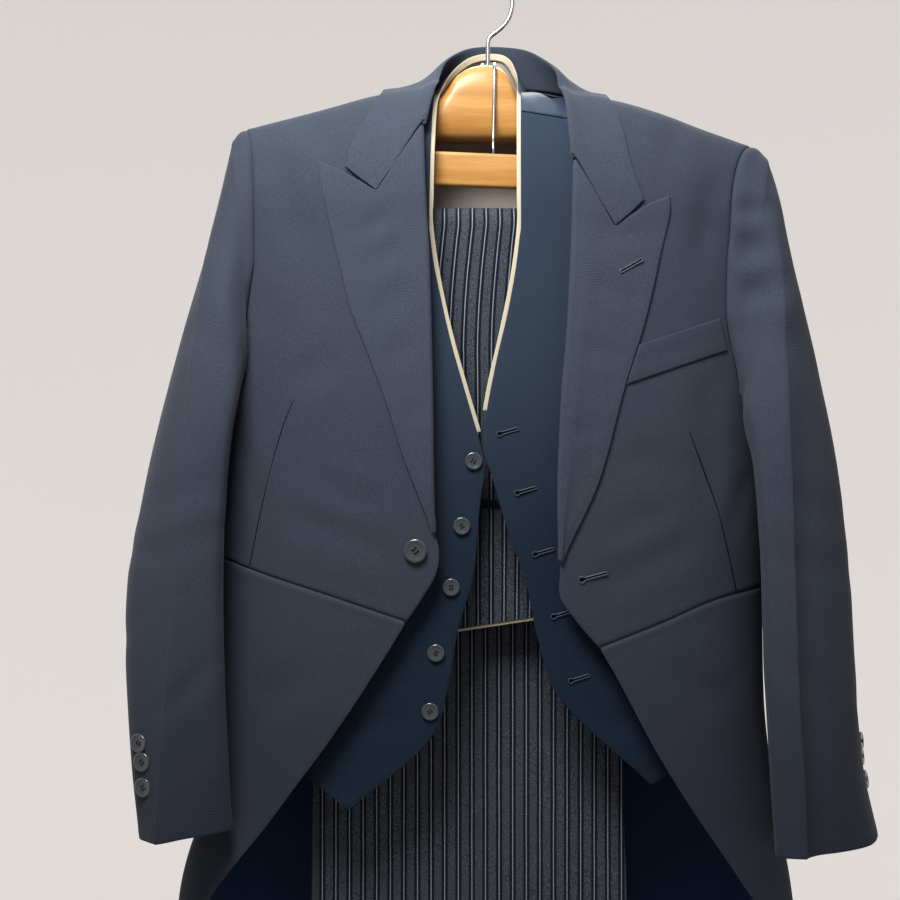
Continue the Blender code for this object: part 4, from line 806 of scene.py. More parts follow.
# Hollows of the sleeve heads: x, z, radius, depth
HEAD_HOLLOWS = {
    "R": (),
    "L": ((228, -214, 12, 3.2), (225, -247, 13, 3.0), (230, -285, 15, 2.8), (246, -330, 18, 1.6)),
}
# The satin yoke at the waistcoat's left shoulder ends in a seam: x, z
YOKE_SEAM = ((28, -126.0), (50, -129.6), (80, -134.6))
# Creases: depth, width, lean, then the path in x, z on the front
FRONT_FOLDS = {
    "R": (
        (1.89, 15, 0.1, ((-196, -150), (-180, -185), (-170, -225), (-163, -262))),
        (1.22, 12, 0.0, ((-165, -128), (-148, -150), (-140, -172))),
        (1.49, 17, -0.1, ((-199, -262), (-188, -320), (-192, -380), (-202, -440))),
        (1.08, 14, 0.1, ((-120, -345), (-150, -352), (-178, -372))),
        (0.94, 13, 0.0, ((-72, -520), (-110, -498), (-152, -482), (-190, -478))),
        (0.81, 11, 0.0, ((-86, -470), (-120, -462), (-160, -440))),
        (0.81, 10, 0.1, ((-222, -400), (-205, -440), (-200, -480))),
    ),
    "L": (
        (1.76, 14, -0.1, ((206, -168), (190, -205), (182, -245), (180, -280))),
        (1.08, 12, 0.0, ((165, -130), (158, -152), (160, -180))),
        (1.35, 15, 0.1, ((196, -345), (184, -380), (186, -430), (196, -480))),
        (0.94, 14, 0.0, ((108, -420), (140, -432), (168, -452))),
        (1.08, 13, 0.1, ((76, -545), (112, -526), (150, -508), (186, -500))),
        (0.81, 12, 0.0, ((92, -500), (128, -480), (158, -474))),
        (0.81, 10, -0.1, ((226, -430), (212, -470), (206, -505))),
    ),
}
LAPEL_FOLDS = {
    "R": (
        (1.02, 8, 0.1, ((-118, -246), (-104, -232), (-88, -222), (-74, -216))),
        (0.94, 9, 0.0, ((-112, -275), (-98, -262), (-82, -252), (-66, -248))),
        (0.85, 10, 0.0, ((-104, -310), (-90, -298), (-76, -290), (-62, -286))),
        (0.77, 10, 0.1, ((-88, -352), (-76, -338), (-62, -330))),
        (0.68, 9, 0.0, ((-74, -400), (-64, -390), (-54, -384))),
    ),
    "L": (
        (0.85, 9, 0.1, ((136, -248), (120, -240), (100, -236), (84, -238))),
        (0.94, 10, 0.0, ((126, -300), (110, -290), (92, -284), (76, -284))),
        (0.85, 10, 0.0, ((112, -350), (96, -340), (80, -336), (68, -338))),
        (0.68, 9, 0.1, ((92, -412), (80, -404), (66, -402))),
    ),
}
# Creases of the sleeves: depth, width, lean, then the path as ring number and eighth
SLEEVE_FOLDS = {
    "R": (
        (1.8, 13, 0.1, ((0.9, 2.9), (1.3, 2.2), (1.9, 1.5), (2.4, 1.0))),
        (0.63, 11, 0.0, ((1.0, 0.2), (1.6, 0.9), (2.1, 1.7), (2.7, 2.6))),
        (0.68, 12, -0.1, ((2.4, 2.8), (3.0, 2.3), (3.6, 1.3), (4.2, 0.4))),
        (0.77, 12, 0.1, ((4.6, 2.9), (5.0, 2.3), (5.3, 1.5), (5.5, 0.6))),
        (0.72, 11, 0.0, ((5.2, 3.4), (5.5, 2.6), (5.8, 1.6), (5.9, 0.3), (5.9, -0.8))),
        (0.59, 11, 0.0, ((6.3, 1.7), (6.6, 1.0), (6.9, 0.1), (7.1, -0.8))),
        (1.0, 9, 0.1, ((6.8, 2.8), (7.2, 2.4), (7.6, 1.6))),
        (0.81, 13, 0.0, ((4.2, -1.2), (4.9, -0.6), (5.4, 0.1), (5.9, 0.7))),
        (0.9, 14, 0.0, ((1.0, -1.4), (1.7, -0.8), (2.6, -0.5), (3.4, -0.2))),
        (1.6, 12, 0.1, ((0.9, 4.6), (1.6, 5.2), (2.4, 5.6), (3.4, 6.0))),
        (1.6, 12, 0.1, ((4.0, 6.4), (4.7, 5.8), (5.4, 5.0), (6.0, 4.2))),
        (1.3, 11, 0.0, ((5.6, 6.4), (6.3, 5.9), (7.0, 5.2))),
    ),
    "L": (
        (2.2, 11, 0.1, ((0.55, 1.9), (0.95, 1.5), (1.35, 1.2))),
        (2.0, 11, 0.0, ((1.1, 2.2), (1.5, 1.7), (1.95, 1.3))),
        (1.9, 12, 0.0, ((1.7, 2.4), (2.15, 1.8), (2.6, 1.1))),
        (0.63, 12, -0.1, ((2.7, 2.8), (3.3, 2.2), (3.8, 1.3), (4.3, 0.6))),
        (0.72, 12, 0.1, ((4.5, 2.9), (4.9, 2.4), (5.3, 1.5), (5.6, 0.5))),
        (0.68, 12, 0.0, ((5.3, 3.3), (5.7, 2.5), (5.9, 1.5), (6.0, 0.2), (6.0, -0.8))),
        (1.1, 11, 0.0, ((6.5, 2.7), (6.9, 2.2), (7.4, 1.2))),
        (0.59, 12, 0.1, ((7.1, 0.9), (7.6, 0.2), (8.0, -0.6))),
        (0.85, 14, 0.0, ((1.0, -1.4), (1.8, -0.9), (2.6, -0.4), (3.5, -0.1))),
        (0.77, 13, 0.0, ((4.3, -1.3), (4.9, -0.7), (5.5, 0.0))),
        (1.6, 12, 0.1, ((0.9, 4.8), (1.6, 5.3), (2.5, 5.7), (3.4, 6.1))),
        (1.5, 12, 0.1, ((4.1, 6.4), (4.8, 5.7), (5.5, 4.9))),
        (1.3, 11, 0.0, ((5.7, 6.3), (6.4, 5.7), (7.1, 5.0))),
    ),
}
# Creases of the coat's sides, back and skirts: depth, width, lean, then the path as turn and z
BODY_CREASES = (
    (1.5, 16, 0.1, ((1.36, -250), (1.44, -290), (1.55, -340), (1.66, -375))),
    (1.3, 15, 0.0, ((1.34, -310), (1.44, -355), (1.54, -395))),
    (1.2, 14, 0.1, ((1.10, -430), (1.22, -470), (1.36, -500), (1.50, -515))),
    (1.1, 13, 0.0, ((1.02, -480), (1.16, -505), (1.34, -522))),
    (1.2, 16, 0.0, ((1.97, -200), (1.86, -214), (1.72, -222), (1.58, -220))),
    (1.3, 18, 0.1, ((1.93, -480), (1.84, -505), (1.72, -520), (1.60, -528))),
    (1.2, 17, 0.0, ((1.78, -560), (1.84, -620), (1.86, -700), (1.85, -780))),
    (1.6, 22, 0.0, ((1.90, -640), (1.93, -740), (1.92, -860), (1.91, -980))),
    (1.2, 18, 0.1, ((1.76, -760), (1.80, -850), (1.79, -940))),
)
SKIRT_CREASES = (
    (1.4, 20, 0.0, ((0.88, -585), (0.92, -650), (0.98, -730), (1.02, -810))),
    (1.6, 22, 0.1, ((1.18, -580), (1.22, -680), (1.26, -800), (1.28, -900))),
    (1.5, 20, 0.0, ((1.42, -600), (1.46, -720), (1.48, -840), (1.50, -960))),
    (0.9, 18, 0.0, ((0.48, -590), (0.56, -640), (0.66, -690), (0.74, -740))),
    (0.8, 16, 0.1, ((0.34, -600), (0.46, -628), (0.60, -640))),
)
LINING_CREASES = (
    (1.8, 14, 0.1, ((0.78, -640), (0.98, -700), (1.12, -790), (1.20, -880))),
    (1.7, 13, 0.0, ((1.30, -640), (1.42, -760), (1.50, -900))),
    (1.6, 14, 0.0, ((1.70, -620), (1.72, -760), (1.70, -900), (1.71, -1000))),
    (1.5, 12, 0.1, ((1.86, -640), (1.84, -780), (1.87, -920))),
)
VEST_FOLDS = {
    "R": (
        (0.9, 13, 0.0, ((-62, -420), (-88, -440), (-120, -452), (-160, -458))),
        (1.0, 14, 0.1, ((-40, -560), (-80, -560), (-125, -548), (-165, -530))),
        (0.9, 12, 0.0, ((-60, -640), (-90, -655), (-125, -655), (-160, -640))),
        (0.7, 11, 0.0, ((-46, -200), (-72, -250), (-80, -310))),
    ),
    "L": (
        (0.9, 13, 0.0, ((40, -420), (66, -432), (100, -446), (150, -455))),
        (0.9, 13, 0.1, ((60, -545), (96, -548), (135, -535), (170, -520))),
        (0.9, 12, 0.0, ((80, -645), (110, -655), (150, -648), (175, -635))),
        (0.7, 11, 0.0, ((40, -190), (66, -240), (72, -300))),
        (-2.2, 6, 0.2, ((26, -88), (38, -101), (50, -112), (66, -124))),
    ),
}
# How far the stripes lean to the viewer's right where the front fall nears the bar
STRIPE_LEAN = 9.0
# Creases of the folded trousers: depth, width, lean, then the path in x, z
LEG_FOLDS = (
    (1.0, 3.0, 0.0, ((-37, -482), (-36, -510), (-33, -545), (-31, -566))),
    (0.8, 9.0, 0.1, ((-80, -260), (-50, -330), (-34, -400), (-30, -455))),
    (0.8, 10.0, 0.0, ((70, -250), (48, -310), (30, -380), (22, -450))),
    (0.5, 9.0, 0.0, ((-140, -640), (-80, -650), (-20, -645))),
    (-1.3, 8.0, 0.2, ((58, -216), (38, -236), (24, -262), (16, -300))),
    (-1.1, 9.0, 0.1, ((-70, -222), (-40, -246), (-22, -290), (-16, -340))),
    (-1.1, 7.0, -0.1, ((-34, -216), (-14, -250), (-4, -300))),
)


# ---------------------------------------------------------------- fine cloth
def creases(rows, place):
    """Folds as press takes them; place turns the two numbers of a path's spot into a point."""
    return [([place(*spot) for spot in path], depth, width, lean) for depth, width, lean, path in rows]


def weights(places, count):
    """Catmull-Rom weights of count knots at fractional places, one row per place."""
    table = np.zeros((len(places), count))
    for row, place in zip(table, places):
        k = min(int(place), count - 2)
        f = place - k
        shares = (-0.5 * f + f * f - 0.5 * f ** 3, 1 - 2.5 * f * f + 1.5 * f ** 3,
                  0.5 * f + 2 * f * f - 1.5 * f ** 3, -0.5 * f * f + 0.5 * f ** 3)
        for i, share in zip(range(k - 1, k + 3), shares):
            if i < 0:
                row[0] += 2 * share
                row[1] -= share
            elif i >= count:
                row[-1] += 2 * share
                row[-2] -= share
            else:
                row[i] += share
    return table


def runs(grid, axis):
    """Distance from the first line of the grid to each point, along one of its ways."""
    steps = np.linalg.norm(np.diff(grid, axis=axis), axis=2)
    return np.concatenate((np.zeros_like(np.take(steps, [0], axis)), np.cumsum(steps, axis=axis)), axis)


def stations(length, step):
    """Shares 0..1 of a length, a step apart and closer beside its ends."""
    near = [d / length for d in EDGE_LINES]
    clear = near[-1] * 1.5
    even = [s for s in spread(0, 1, max(int(length / step), 3)) if clear < s < 1 - clear]
    return near + even + [1 - n for n in near[::-1]]


def refine(rows, step):
    """Smooth fine grid through coarse rows of points."""
    rows = np.array(rows, float)
    tables = []
    for axis, stride in enumerate(step if isinstance(step, tuple) else (step, step)):
        count = rows.shape[axis]
        places = [s * (count - 1) for s in stations(runs(rows, axis).max(), stride * GRID_STEP)]
        tables.append(weights(places, count))
    return np.einsum("ai,bj,ijk->abk", *tables, rows)


def normals_of(grid, outward):
    """Unit normals of the grid, on the side to which outward points at its middle."""
    normal = np.cross(np.gradient(grid, axis=0), np.gradient(grid, axis=1))
    normal /= np.linalg.norm(normal, axis=2, keepdims=True) + 1e-9
    middle = normal[grid.shape[0] // 2, grid.shape[1] // 2]
    return normal * math.copysign(1.0, np.dot(middle, outward))


def beside(grid, normals, path):
    """Signed distance of each grid point from a path, and how far along the path it lies, 0..1."""
    path = np.array(path, float)
    flat, ups = grid.reshape(-1, 3), normals.reshape(-1, 3)
    lengths = np.linalg.norm(np.diff(path, axis=0), axis=1)
    starts = np.concatenate(([0], np.cumsum(lengths)))
    best = np.full(len(flat), 1e9)
    side, place = np.zeros(len(flat)), np.zeros(len(flat))
    for a, b, length, start in zip(path, path[1:], lengths, starts):
        way = (b - a) / length
        t = np.clip((flat - a) @ way, 0, length)
        off = flat - (a + t[:, None] * way)
        dist = np.linalg.norm(off, axis=1)
        closer = dist < best
        best = np.where(closer, dist, best)
        signed = np.einsum("ij,ij->i", off, np.cross(ups, way))
        side = np.where(closer, np.copysign(dist, signed), side)
        place = np.where(closer, (start + t) / starts[-1], place)
    return side.reshape(grid.shape[:2]), place.reshape(grid.shape[:2])


def bell(dist, height, middle, width):
    return height * np.exp(-((dist - middle) / width) ** 2)


def press(grid, normals, folds):
    """Height of soft creases: a valley between two swells, fading towards the path's ends."""
    height = np.zeros(grid.shape[:2])
    for path, depth, width, lean in folds:
        side, place = beside(grid, normals, path)
        fade = np.clip(place / FADE, 0, 1) * np.clip((1 - place) / FADE, 0, 1)
        fade = fade * fade * (3 - 2 * fade)
        s = side / width
        swells = [bell(s, SWELL_RISE + lean * way, SWELL_AWAY * way, SWELL_WIDTH) for way in (1, -1)]
        height += depth * fade * (bell(s, -1.0, 0.0, 1.0) + swells[0] + swells[1])
    return height


def drift(grid, amount, scale, seed):
    """Slow uneven rise and fall of hanging cloth."""
    rng = np.random.default_rng(seed)
    height = np.zeros(grid.shape[:2])
    for octave in range(5):
        way = rng.normal(size=3) * (1.0, 1.0, 0.6)
        way *= (1 + 0.45 * octave) / scale / np.linalg.norm(way)
        height += np.sin(2 * math.pi * (grid @ way) + rng.uniform(0, 6.28)) / (1 + 0.6 * octave)
    return amount * height / 2.2


def edge_shape(grid, seams):
    """Groove of a sewn edge, or the slight swell of a pressed and turned one."""
    height = np.zeros(grid.shape[:2])
    for axis, name in ((0, "u"), (1, "v")):
        run = runs(grid, axis)
        for end, dist in (("0", run), ("1", np.take(run, [-1], axis) - run)):
            if name + end in seams:
                height += bell(dist, *SEAM_GROOVE) + bell(dist, *SEAM_LIP)
            else:
                height += bell(dist, *EDGE_SWELL)
    return height


def quads(count, width):
    """Squares of a grid of points whose last column joins its first."""
    for i in range(count - 1):
        for j in range(width):
            k = (j + 1) % width
            yield i * width + j, i * width + k, (i + 1) * width + k, (i + 1) * width + j


def two_sides(squares, base):
    """Each square on the outer layer, then its match on the inner one, with their material slots."""
    faces = []
    for square in squares:
        faces += [square, tuple(base + q for q in square[::-1])]
    return faces, [0, 1] * (len(faces) // 2)


def piece(name, vertices, faces, mats, slots=None, flat=None, crease=60.0):
    """Mesh object; flat holds each vertex's place on the cloth laid flat."""
    mesh = bpy.data.meshes.new(name)
    mesh.from_pydata([tuple(p) for p in np.asarray(vertices) * MM], [], faces)
    for mat in mats:
        mesh.materials.append(mat)
    if slots is not None:
        mesh.polygons.foreach_set("material_index", slots)
    if flat is not None:
        layer = mesh.uv_layers.new(name="cloth")
        corner = np.empty(len(mesh.loops), int)
        mesh.loops.foreach_get("vertex_index", corner)
        layer.data.foreach_set("uv", (flat * MM)[corner].reshape(-1))
    smooth(mesh, crease)
    return linked(name, mesh)


def smooth(mesh, crease):
    mesh.shade_smooth()
    mesh.set_sharp_from_angle(angle=math.radians(crease))


def linked(name, mesh):
    obj = bpy.data.objects.new(name, mesh)
    bpy.context.scene.collection.objects.link(obj)
    return obj


def shell(name, grid, normals, thick, mats):
    """Closed thin cloth round a grid: outer side, inner side and a rounded rim."""
    count, width = grid.shape[:2]
    outer, inner = grid.copy(), grid - normals * thick
    rounding = RIM_ROUNDING * thick
    rim = [(i, 0) for i in range(count)] + [(count - 1, j) for j in range(1, width)]
    rim += [(i, width - 1) for i in range(count - 2, -1, -1)] + [(0, j) for j in range(width - 2, 0, -1)]
    edge = []
    for i, j in rim:
        outer[i, j] -= normals[i, j] * rounding
        inner[i, j] += normals[i, j] * rounding
        inward = grid[min(max(i, 1), count - 2), min(max(j, 1), width - 2)] - grid[i, j]
        inward /= np.linalg.norm(inward) + 1e-9
        edge.append(grid[i, j] - normals[i, j] * thick / 2 - inward * thick * RIM_SWELL)
    base = count * width
    squares = [(a, d, c, b) for a, b, c, d in quads(count, width) if b % width]
    faces, slots = two_sides(squares, base)
    seats = [i * width + j for i, j in rim]
    for n, a in enumerate(seats):
        after = (n + 1) % len(seats)
        b, m, m2 = seats[after], 2 * base + n, 2 * base + after
        faces += [(a, b, m2, m), (m, m2, base + b, base + a)]
        slots += [0, 0]
    i, j = count // 2, width // 2
    way = np.cross(grid[i + 1, j] - grid[i, j], grid[i, j + 1] - grid[i, j])
    if np.dot(way, normals[i, j]) < 0:
        faces = [face[::-1] for face in faces]
    flat = np.stack((runs(grid, 1), runs(grid, 0)), axis=2).reshape(-1, 2)
    vertices = np.concatenate((outer.reshape(-1, 3), inner.reshape(-1, 3), edge))
    return piece(name, vertices, faces, mats, slots, np.concatenate((flat, flat, flat[seats])))


def stand_in(obj, slot, *nodes):
    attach(obj, "root")
    if nodes:
        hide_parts(*nodes)
    return obj


def cloth(node, rows, thick, mats, outward, slot, step=4.0, folds=(), seams="", sway=0.5,
          tail="cloth", replaced=True, extra=None):
    """A panel's cloth: fine grid, creases, edges and shell, attached to the root; it hides its part when
    replaced.
    """
    grid = refine(rows, step)
    normals = normals_of(grid, outward)
    flat = [round(runs(grid, axis).max() * MM, 4) for axis in (1, 0)]
    height = press(grid, normals, folds) + edge_shape(grid, seams) + drift(grid, sway, SWAY_LENGTH, len(node))
    if extra is not None:
        height += extra(grid, normals)
    obj = shell(node + "_" + tail, grid + normals * height[..., None], normals, thick, mats)
    stand_in(obj, slot, *([node] if replaced else []))
    return obj


def sampled(surface, us, vs):
    return np.array([[surface(u, v) for v in vs] for u in us])


def yoke_heights(above, below, end=1):
    """Shares down a panel, closer together over the shoulder."""
    return spread(0, YOKE_SHARE, above)[:-1] + spread(YOKE_SHARE, end, below)


# ---------------------------------------------------------------- round pieces
def tube(name, rings, mat, crease=40.0):
    """Closed solid through rings of points, with flat ends."""
    rings = np.array(rings, float)
    count, width = rings.shape[:2]
    faces = list(quads(count, width))
    faces.append(tuple(range(width))[::-1])
    faces.append(tuple((count - 1) * width + j for j in range(width)))
    spine = rings.mean(axis=1)
    arms = rings[0] - spine[0]
    if np.dot(np.cross(arms[0], arms[1]), spine[1] - spine[0]) < 0:
        faces = [face[::-1] for face in faces]
    return piece(name, rings.reshape(-1, 3), faces, [mat], crease=crease)


def circle(sides):
    return [(math.cos(a), math.sin(a)) for a in spread(0, 2 * math.pi * (1 - 1 / sides), sides)]


def rod(name, path, radius, mat, sides=10):
    path = np.array(path, float)
    ways = np.gradient(path, axis=0)
    ways /= np.linalg.norm(ways, axis=1, keepdims=True)
    across = np.cross(ways[0], (0.3, 1.0, 0.2))
    rings = []
    for point, way in zip(path, ways):
        across = across - way * np.dot(across, way)
        across /= np.linalg.norm(across)
        up = np.cross(way, across)
        rings.append([point + radius * (across * c + up * s) for c, s in circle(sides)])
    return tube(name, rings, mat)


# ---------------------------------------------------------------- materials
class Nodes:
    """A material's node tree, with short ways to add and link nodes."""

    def __init__(self, name, colour, roughness, **values):
        self.mat = bpy.data.materials.new(name)
        self.mat.use_nodes = True
        self.tree = self.mat.node_tree
        self.shader = self.tree.nodes["Principled BSDF"]
        self.shader.inputs["Base Color"].default_value = (*colour, 1.0)
        self.shader.inputs["Roughness"].default_value = roughness
        for key, value in values.items():
            self.shader.inputs[key.replace("_", " ")].default_value = value

    def add(self, kind, inputs=(), **settings):
        node = self.tree.nodes.new("ShaderNode" + kind)
        for key, value in settings.items():
            setattr(node, key, value)
        for key, value in dict(inputs).items():
            if isinstance(value, bpy.types.NodeSocket):
                self.tree.links.new(value, node.inputs[key])
            else:
                node.inputs[key].default_value = value
        return node

    def math(self, operation, a, b=0.0):
        return self.add("Math", {0: a, 1: b}, operation=operation).outputs[0]

    def blend(self, share, *colours):
        """Mix of two colours, each a socket or three numbers."""
        a, b = [c if isinstance(c, bpy.types.NodeSocket) else (*c, 1.0) for c in colours]
        return self.add("Mix", {0: share, 6: a, 7: b}, data_type="RGBA").outputs[2]

    def noise(self, vector, scale, detail=2.0):
        return self.add("TexNoise", {"Vector": vector, "Scale": scale, "Detail": detail}).outputs[0]

    def step(self, value, low, high):
        return self.add("MapRange", {0: value, 1: low, 2: high}, interpolation_type="SMOOTHSTEP").outputs[0]

    def place(self):
        return self.add("TexCoord").outputs["Object"]

    def split(self, vector):
        return self.add("SeparateXYZ", {0: vector}).outputs

    def weave(self, frequency):
        """Width and length on the cloth, and its diagonal rib."""
        wide, tall = self.split(self.add("UVMap", uv_map="cloth").outputs[0])[:2]
        return wide, tall, self.math("SINE", self.math("MULTIPLY", self.math("ADD", wide, tall), frequency))

    def colour(self, socket):
        self.tree.links.new(socket, self.shader.inputs["Base Color"])

    def bump(self, height, strength, distance):
        node = self.add("Bump", {"Height": height, "Strength": strength, "Distance": distance})
        self.tree.links.new(node.outputs[0], self.shader.inputs["Normal"])
        return self.mat


def tinted(colour, factor):
    return [c * factor for c in colour]


def wool(name, colour, fleck, sheen, shine=0.08, painted_light_by_height=None):
    """Fine twill with a mixed-yarn grain; the last argument gives two heights and the colour past the second:
    light or shade painted into the cloth by height.
    """
    n = Nodes(name, colour, 0.86, Sheen_Weight=sheen, Sheen_Roughness=0.45, Specular_IOR_Level=shine)
    _, _, rib = n.weave(WOOL_RIB)
    place = n.place()
    grain = n.noise(place, 900.0, 3.0)
    cloud = n.noise(place, 14.0, 2.0)
    mixed = n.blend(n.step(grain, 0.35, 0.7), colour, tinted(colour, fleck))
    mixed = n.blend(n.step(cloud, 0.3, 0.75), mixed, n.blend(0.5, mixed, tinted(colour, 1.18)))
    # painted light and shade: the cloth's colour turns to the given one between two heights
    if painted_light_by_height:
        start, end, other = painted_light_by_height
        mixed = n.blend(n.step(n.split(place)[2], start * MM, end * MM), mixed, other)
    n.colour(mixed)
    return n.bump(n.math("ADD", n.math("MULTIPLY", rib, 0.35), grain), 0.28, 0.0004)


def satin(name, colour, roughness, shine):
    n = Nodes(name, colour, roughness, Specular_IOR_Level=shine, Anisotropic=0.4)
    _, _, rib = n.weave(SATIN_RIB)
    slubs = n.noise(n.place(), 60.0, 3.0)
    n.colour(n.blend(slubs, colour, tinted(colour, 1.25)))
    return n.bump(n.math("ADD", n.math("MULTIPLY", rib, 0.2), slubs), 0.12, 0.0004)


def striped_cloth(name):
    """Trouser cloth: light pin line, black, a speckled grey band and black, every 12 mm."""
    n = Nodes(name, (0.02, 0.022, 0.027), 0.85, Sheen_Weight=0.05, Sheen_Roughness=0.5,
              Specular_IOR_Level=0.08)
    wide, tall, rib = n.weave(STRIPED_RIB)
    place = n.place()
    wobble = n.math("MULTIPLY", n.noise(place, 25.0), 0.0006)
    phase = n.math("FRACT", n.math("MULTIPLY", n.math("ADD", wide, wobble), 1 / STRIPE))
    away = n.math("ABSOLUTE", n.math("SUBTRACT", phase, 0.5))
    pin = n.math("SUBTRACT", 1.0, n.step(n.math("SUBTRACT", 0.5, away), 0.018, 0.050))
    band = n.math("SUBTRACT", 1.0, n.step(away, 0.235, 0.31))
    speck = n.noise(place, 1500.0, 2.0)
    dashes = n.math("SINE", n.math("MULTIPLY", tall, 5200.0))
    grey = n.blend(n.step(speck, 0.36, 0.66), (0.014, 0.017, 0.023), (0.092, 0.102, 0.124))
    grey = n.blend(n.math("MULTIPLY", n.step(dashes, -0.2, 0.9), 0.25), grey, (0.014, 0.015, 0.02))
    base = n.blend(band, (0.0070, 0.0085, 0.0135), grey)
    n.colour(n.blend(n.math("MULTIPLY", pin, 0.9), base, (0.24, 0.265, 0.32)))
    return n.bump(n.math("ADD", n.math("MULTIPLY", rib, 0.3), n.math("ADD", speck, pin)), 0.3, 0.0005)


def beech(name):
    """Lacquered beech: fine long grain along X, with short dark rays."""
    n = Nodes(name, (0.45, 0.22, 0.06), 0.36, Specular_IOR_Level=0.35, Coat_Weight=0.10, Coat_Roughness=0.2)
    place = n.place()
    bands, rays = [n.noise(n.add("Mapping", {"Vector": place, "Scale": scale}).outputs[0], 1.0, detail)
                   for scale, detail in (((5.0, 60.0, 90.0), 5.0), ((60.0, 700.0, 900.0), 2.0))]
    base = n.blend(n.step(bands, 0.3, 0.7), (0.36, 0.155, 0.031), (0.50, 0.255, 0.066))
    n.colour(n.blend(n.math("MULTIPLY", n.step(rays, 0.55, 0.75), 0.35), base, (0.26, 0.11, 0.026)))
    return n.bump(rays, 0.05, 0.0003)


def plain(name, colour, roughness, grain=0.0, **values):
    n = Nodes(name, colour, roughness, **values)
    if grain:
        spots = n.noise(n.place(), 700.0, 3.0)
        n.colour(n.blend(spots, colour, tinted(colour, 1 - grain)))
        n.bump(spots, 0.15, 0.0003)
    return n.mat


# ---------------------------------------------------------------- coat
def inside(side, turn, z, depth):
    """A point a depth inside the coat's outer surface."""
    way = COAT.ring(side, min(turn + 0.005, 1.9999), z) - COAT.ring(side, turn - 0.005, z)
    normal = np.array((way[1], -way[0], 0.0)) * SIDES[side] / np.linalg.norm(way)
    return COAT.ring(side, turn, z) - normal * depth


def tail_lining_point(side, turn, v):
    z = mix(waist_z(side, turn) - SEAM_GAP / 2, track(skirt_edge(side), 1, turn), v)
    return inside(side, turn, z + LINING_RISE * max(0.0, v - 0.9) * 10, COAT_WALL + LINING_GAP)


def side_point(side, u, v):
    """Side body between the armhole's foot and the waist seam."""
    under = UNDERARM_Z[side]
    z = mix(under + SIDE_BODY_RISE, waist_z(side, 1.0) + SEAM_GAP / 2, v)
    left = back_armhole(side, z) if z > under else SIDE_SEAM_TURN
    return COAT.ring(side, mix(left + TURN_GAP, back_seam(side, z) - TURN_GAP, u), z)


def build_coat(m):
    both, facing = [m["coat"], m["lining"]], [m["facing"]] * 2
    for side, sign in SIDES.items():
        on_front, on_ring = functools.partial(COAT.on, side), functools.partial(COAT.ring, side)
        body_folds = creases(BODY_CREASES, on_ring)
        first_turn = skirt_edge(side)[0][0]
        turns = [first_turn + 0.004] + spread(first_turn + 0.05, PLEAT_TURN, 22)
        panels = (
            ("coat_front_", coat_front_point, spread(0, 1, 12), yoke_heights(9, 18), (0, -1, 0), 3.6,
             creases(FRONT_FOLDS[side], on_front), "u1v1v0"),
            ("coat_side_", side_point, spread(0, 1, 6), spread(0, 1, 22), (sign, 0.4, 0), 4.0, body_folds,
             "u0u1v0v1"),
            ("coat_back_", coat_back_point, spread(0, 1, 12), yoke_heights(9, 26), (0, 1, 0), 4.2, body_folds,
             "u1v0"),
            ("coat_skirt_", skirt_point, turns, spread(0, 1, 18), (sign, -0.3, 0), 4.2,
             creases(SKIRT_CREASES, on_ring), "v0"),
        )
        for name, surface, us, vs, outward, step, folds, seams in panels:
            rows = sampled(functools.partial(surface, side), us, vs)
            cloth(name + side, rows, COAT_WALL, both, outward, "coat_cloth", step, folds, seams)
        rows = sampled(functools.partial(tail_lining_point, side), spread(LINING_START_TURN, 1.985, 20),
                       spread(1 / 9, 1, 16))
        cloth("tail_lining_" + side, rows, LINING_WALL, [m["tail"]] * 2, (sign, 0.3, 0), "tail_lining_satin",
              5.0, creases(LINING_CREASES, on_ring), "", 0.9)
        crowns = [(u, track(LAPEL_CROWN, 1, u)) for u in spread(0, 1, 12)]
        cloth("lapel_" + side, lapel_rows(side, spread(0, 1, 26), (-90, -45, 0), crowns), COAT_WALL, facing,
              (0, -1, 0), "coat_cloth", 3.2, creases(LAPEL_FOLDS[side], on_front), "", 0.3)
    turns = [("L", t) for t in spread(1.955, 1.9996, 5)] + [("R", t) for t in spread(1.9996, 1.955, 5)]
    rows = [[inside(side, turn, mix(*VENT_LAP, v), COAT_WALL + 0.5) for v in spread(0, 1, 14)]
            for side, turn in turns]
    cloth("tail_vent", rows, 0.8, both, (0, 1, 0), "coat_cloth", 5.0, (), "", 0.0, tail="underlap",
          replaced=False)
    cloth("collar", collar_rows(), COLLAR_WALL, facing, (0, 0.6, 1), "coat_cloth", 3.0, (), "", 0.25)


def sleeve_shape(side, eighths):
    """Rolled head beside the armhole seam, the pressed crease with its vent, and the head's hollows."""
    crowns = np.array([max(0.0, math.cos(e * math.pi / 4)) for e in eighths])
    path = [sleeve_point(side, *spot) for spot in SLEEVE_CREASE[side]]

    def extra(grid, normals):
        across = np.interp(np.linspace(0, 1, grid.shape[1]), np.linspace(0, 1, len(crowns)), crowns)
        height = bell(runs(grid, 0), *HEAD_ROLL) * across[None, :]
        away, place = beside(grid, normals, path)
        start = np.clip(place / FADE, 0, 1)
        near = np.clip(1 - np.abs(away) / CREASE_WIDTH, 0, 1)
        height += mix(*CREASE_RISE, place) * near ** 2 * start
        outer = np.clip((away * SIDES[side]) / 1.4, 0, 1) * np.clip(1.6 - np.abs(away) / 16, 0, 1)
        height -= mix(*VENT_STEP, np.clip((place - 0.3) / 0.5, 0, 1)) * outer * start
        front = np.clip(-normals[..., 1] * 2, 0, 1)
        for x, z, radius, depth in HEAD_HOLLOWS[side]:
            off = np.hypot(grid[..., 0] - x, (grid[..., 2] - z) * 1.25) / radius
            height += depth * front * (bell(off, 0.35, 1.8, 1.0) - bell(off, 1.0, 0.0, 1.0))
        return height
    return extra


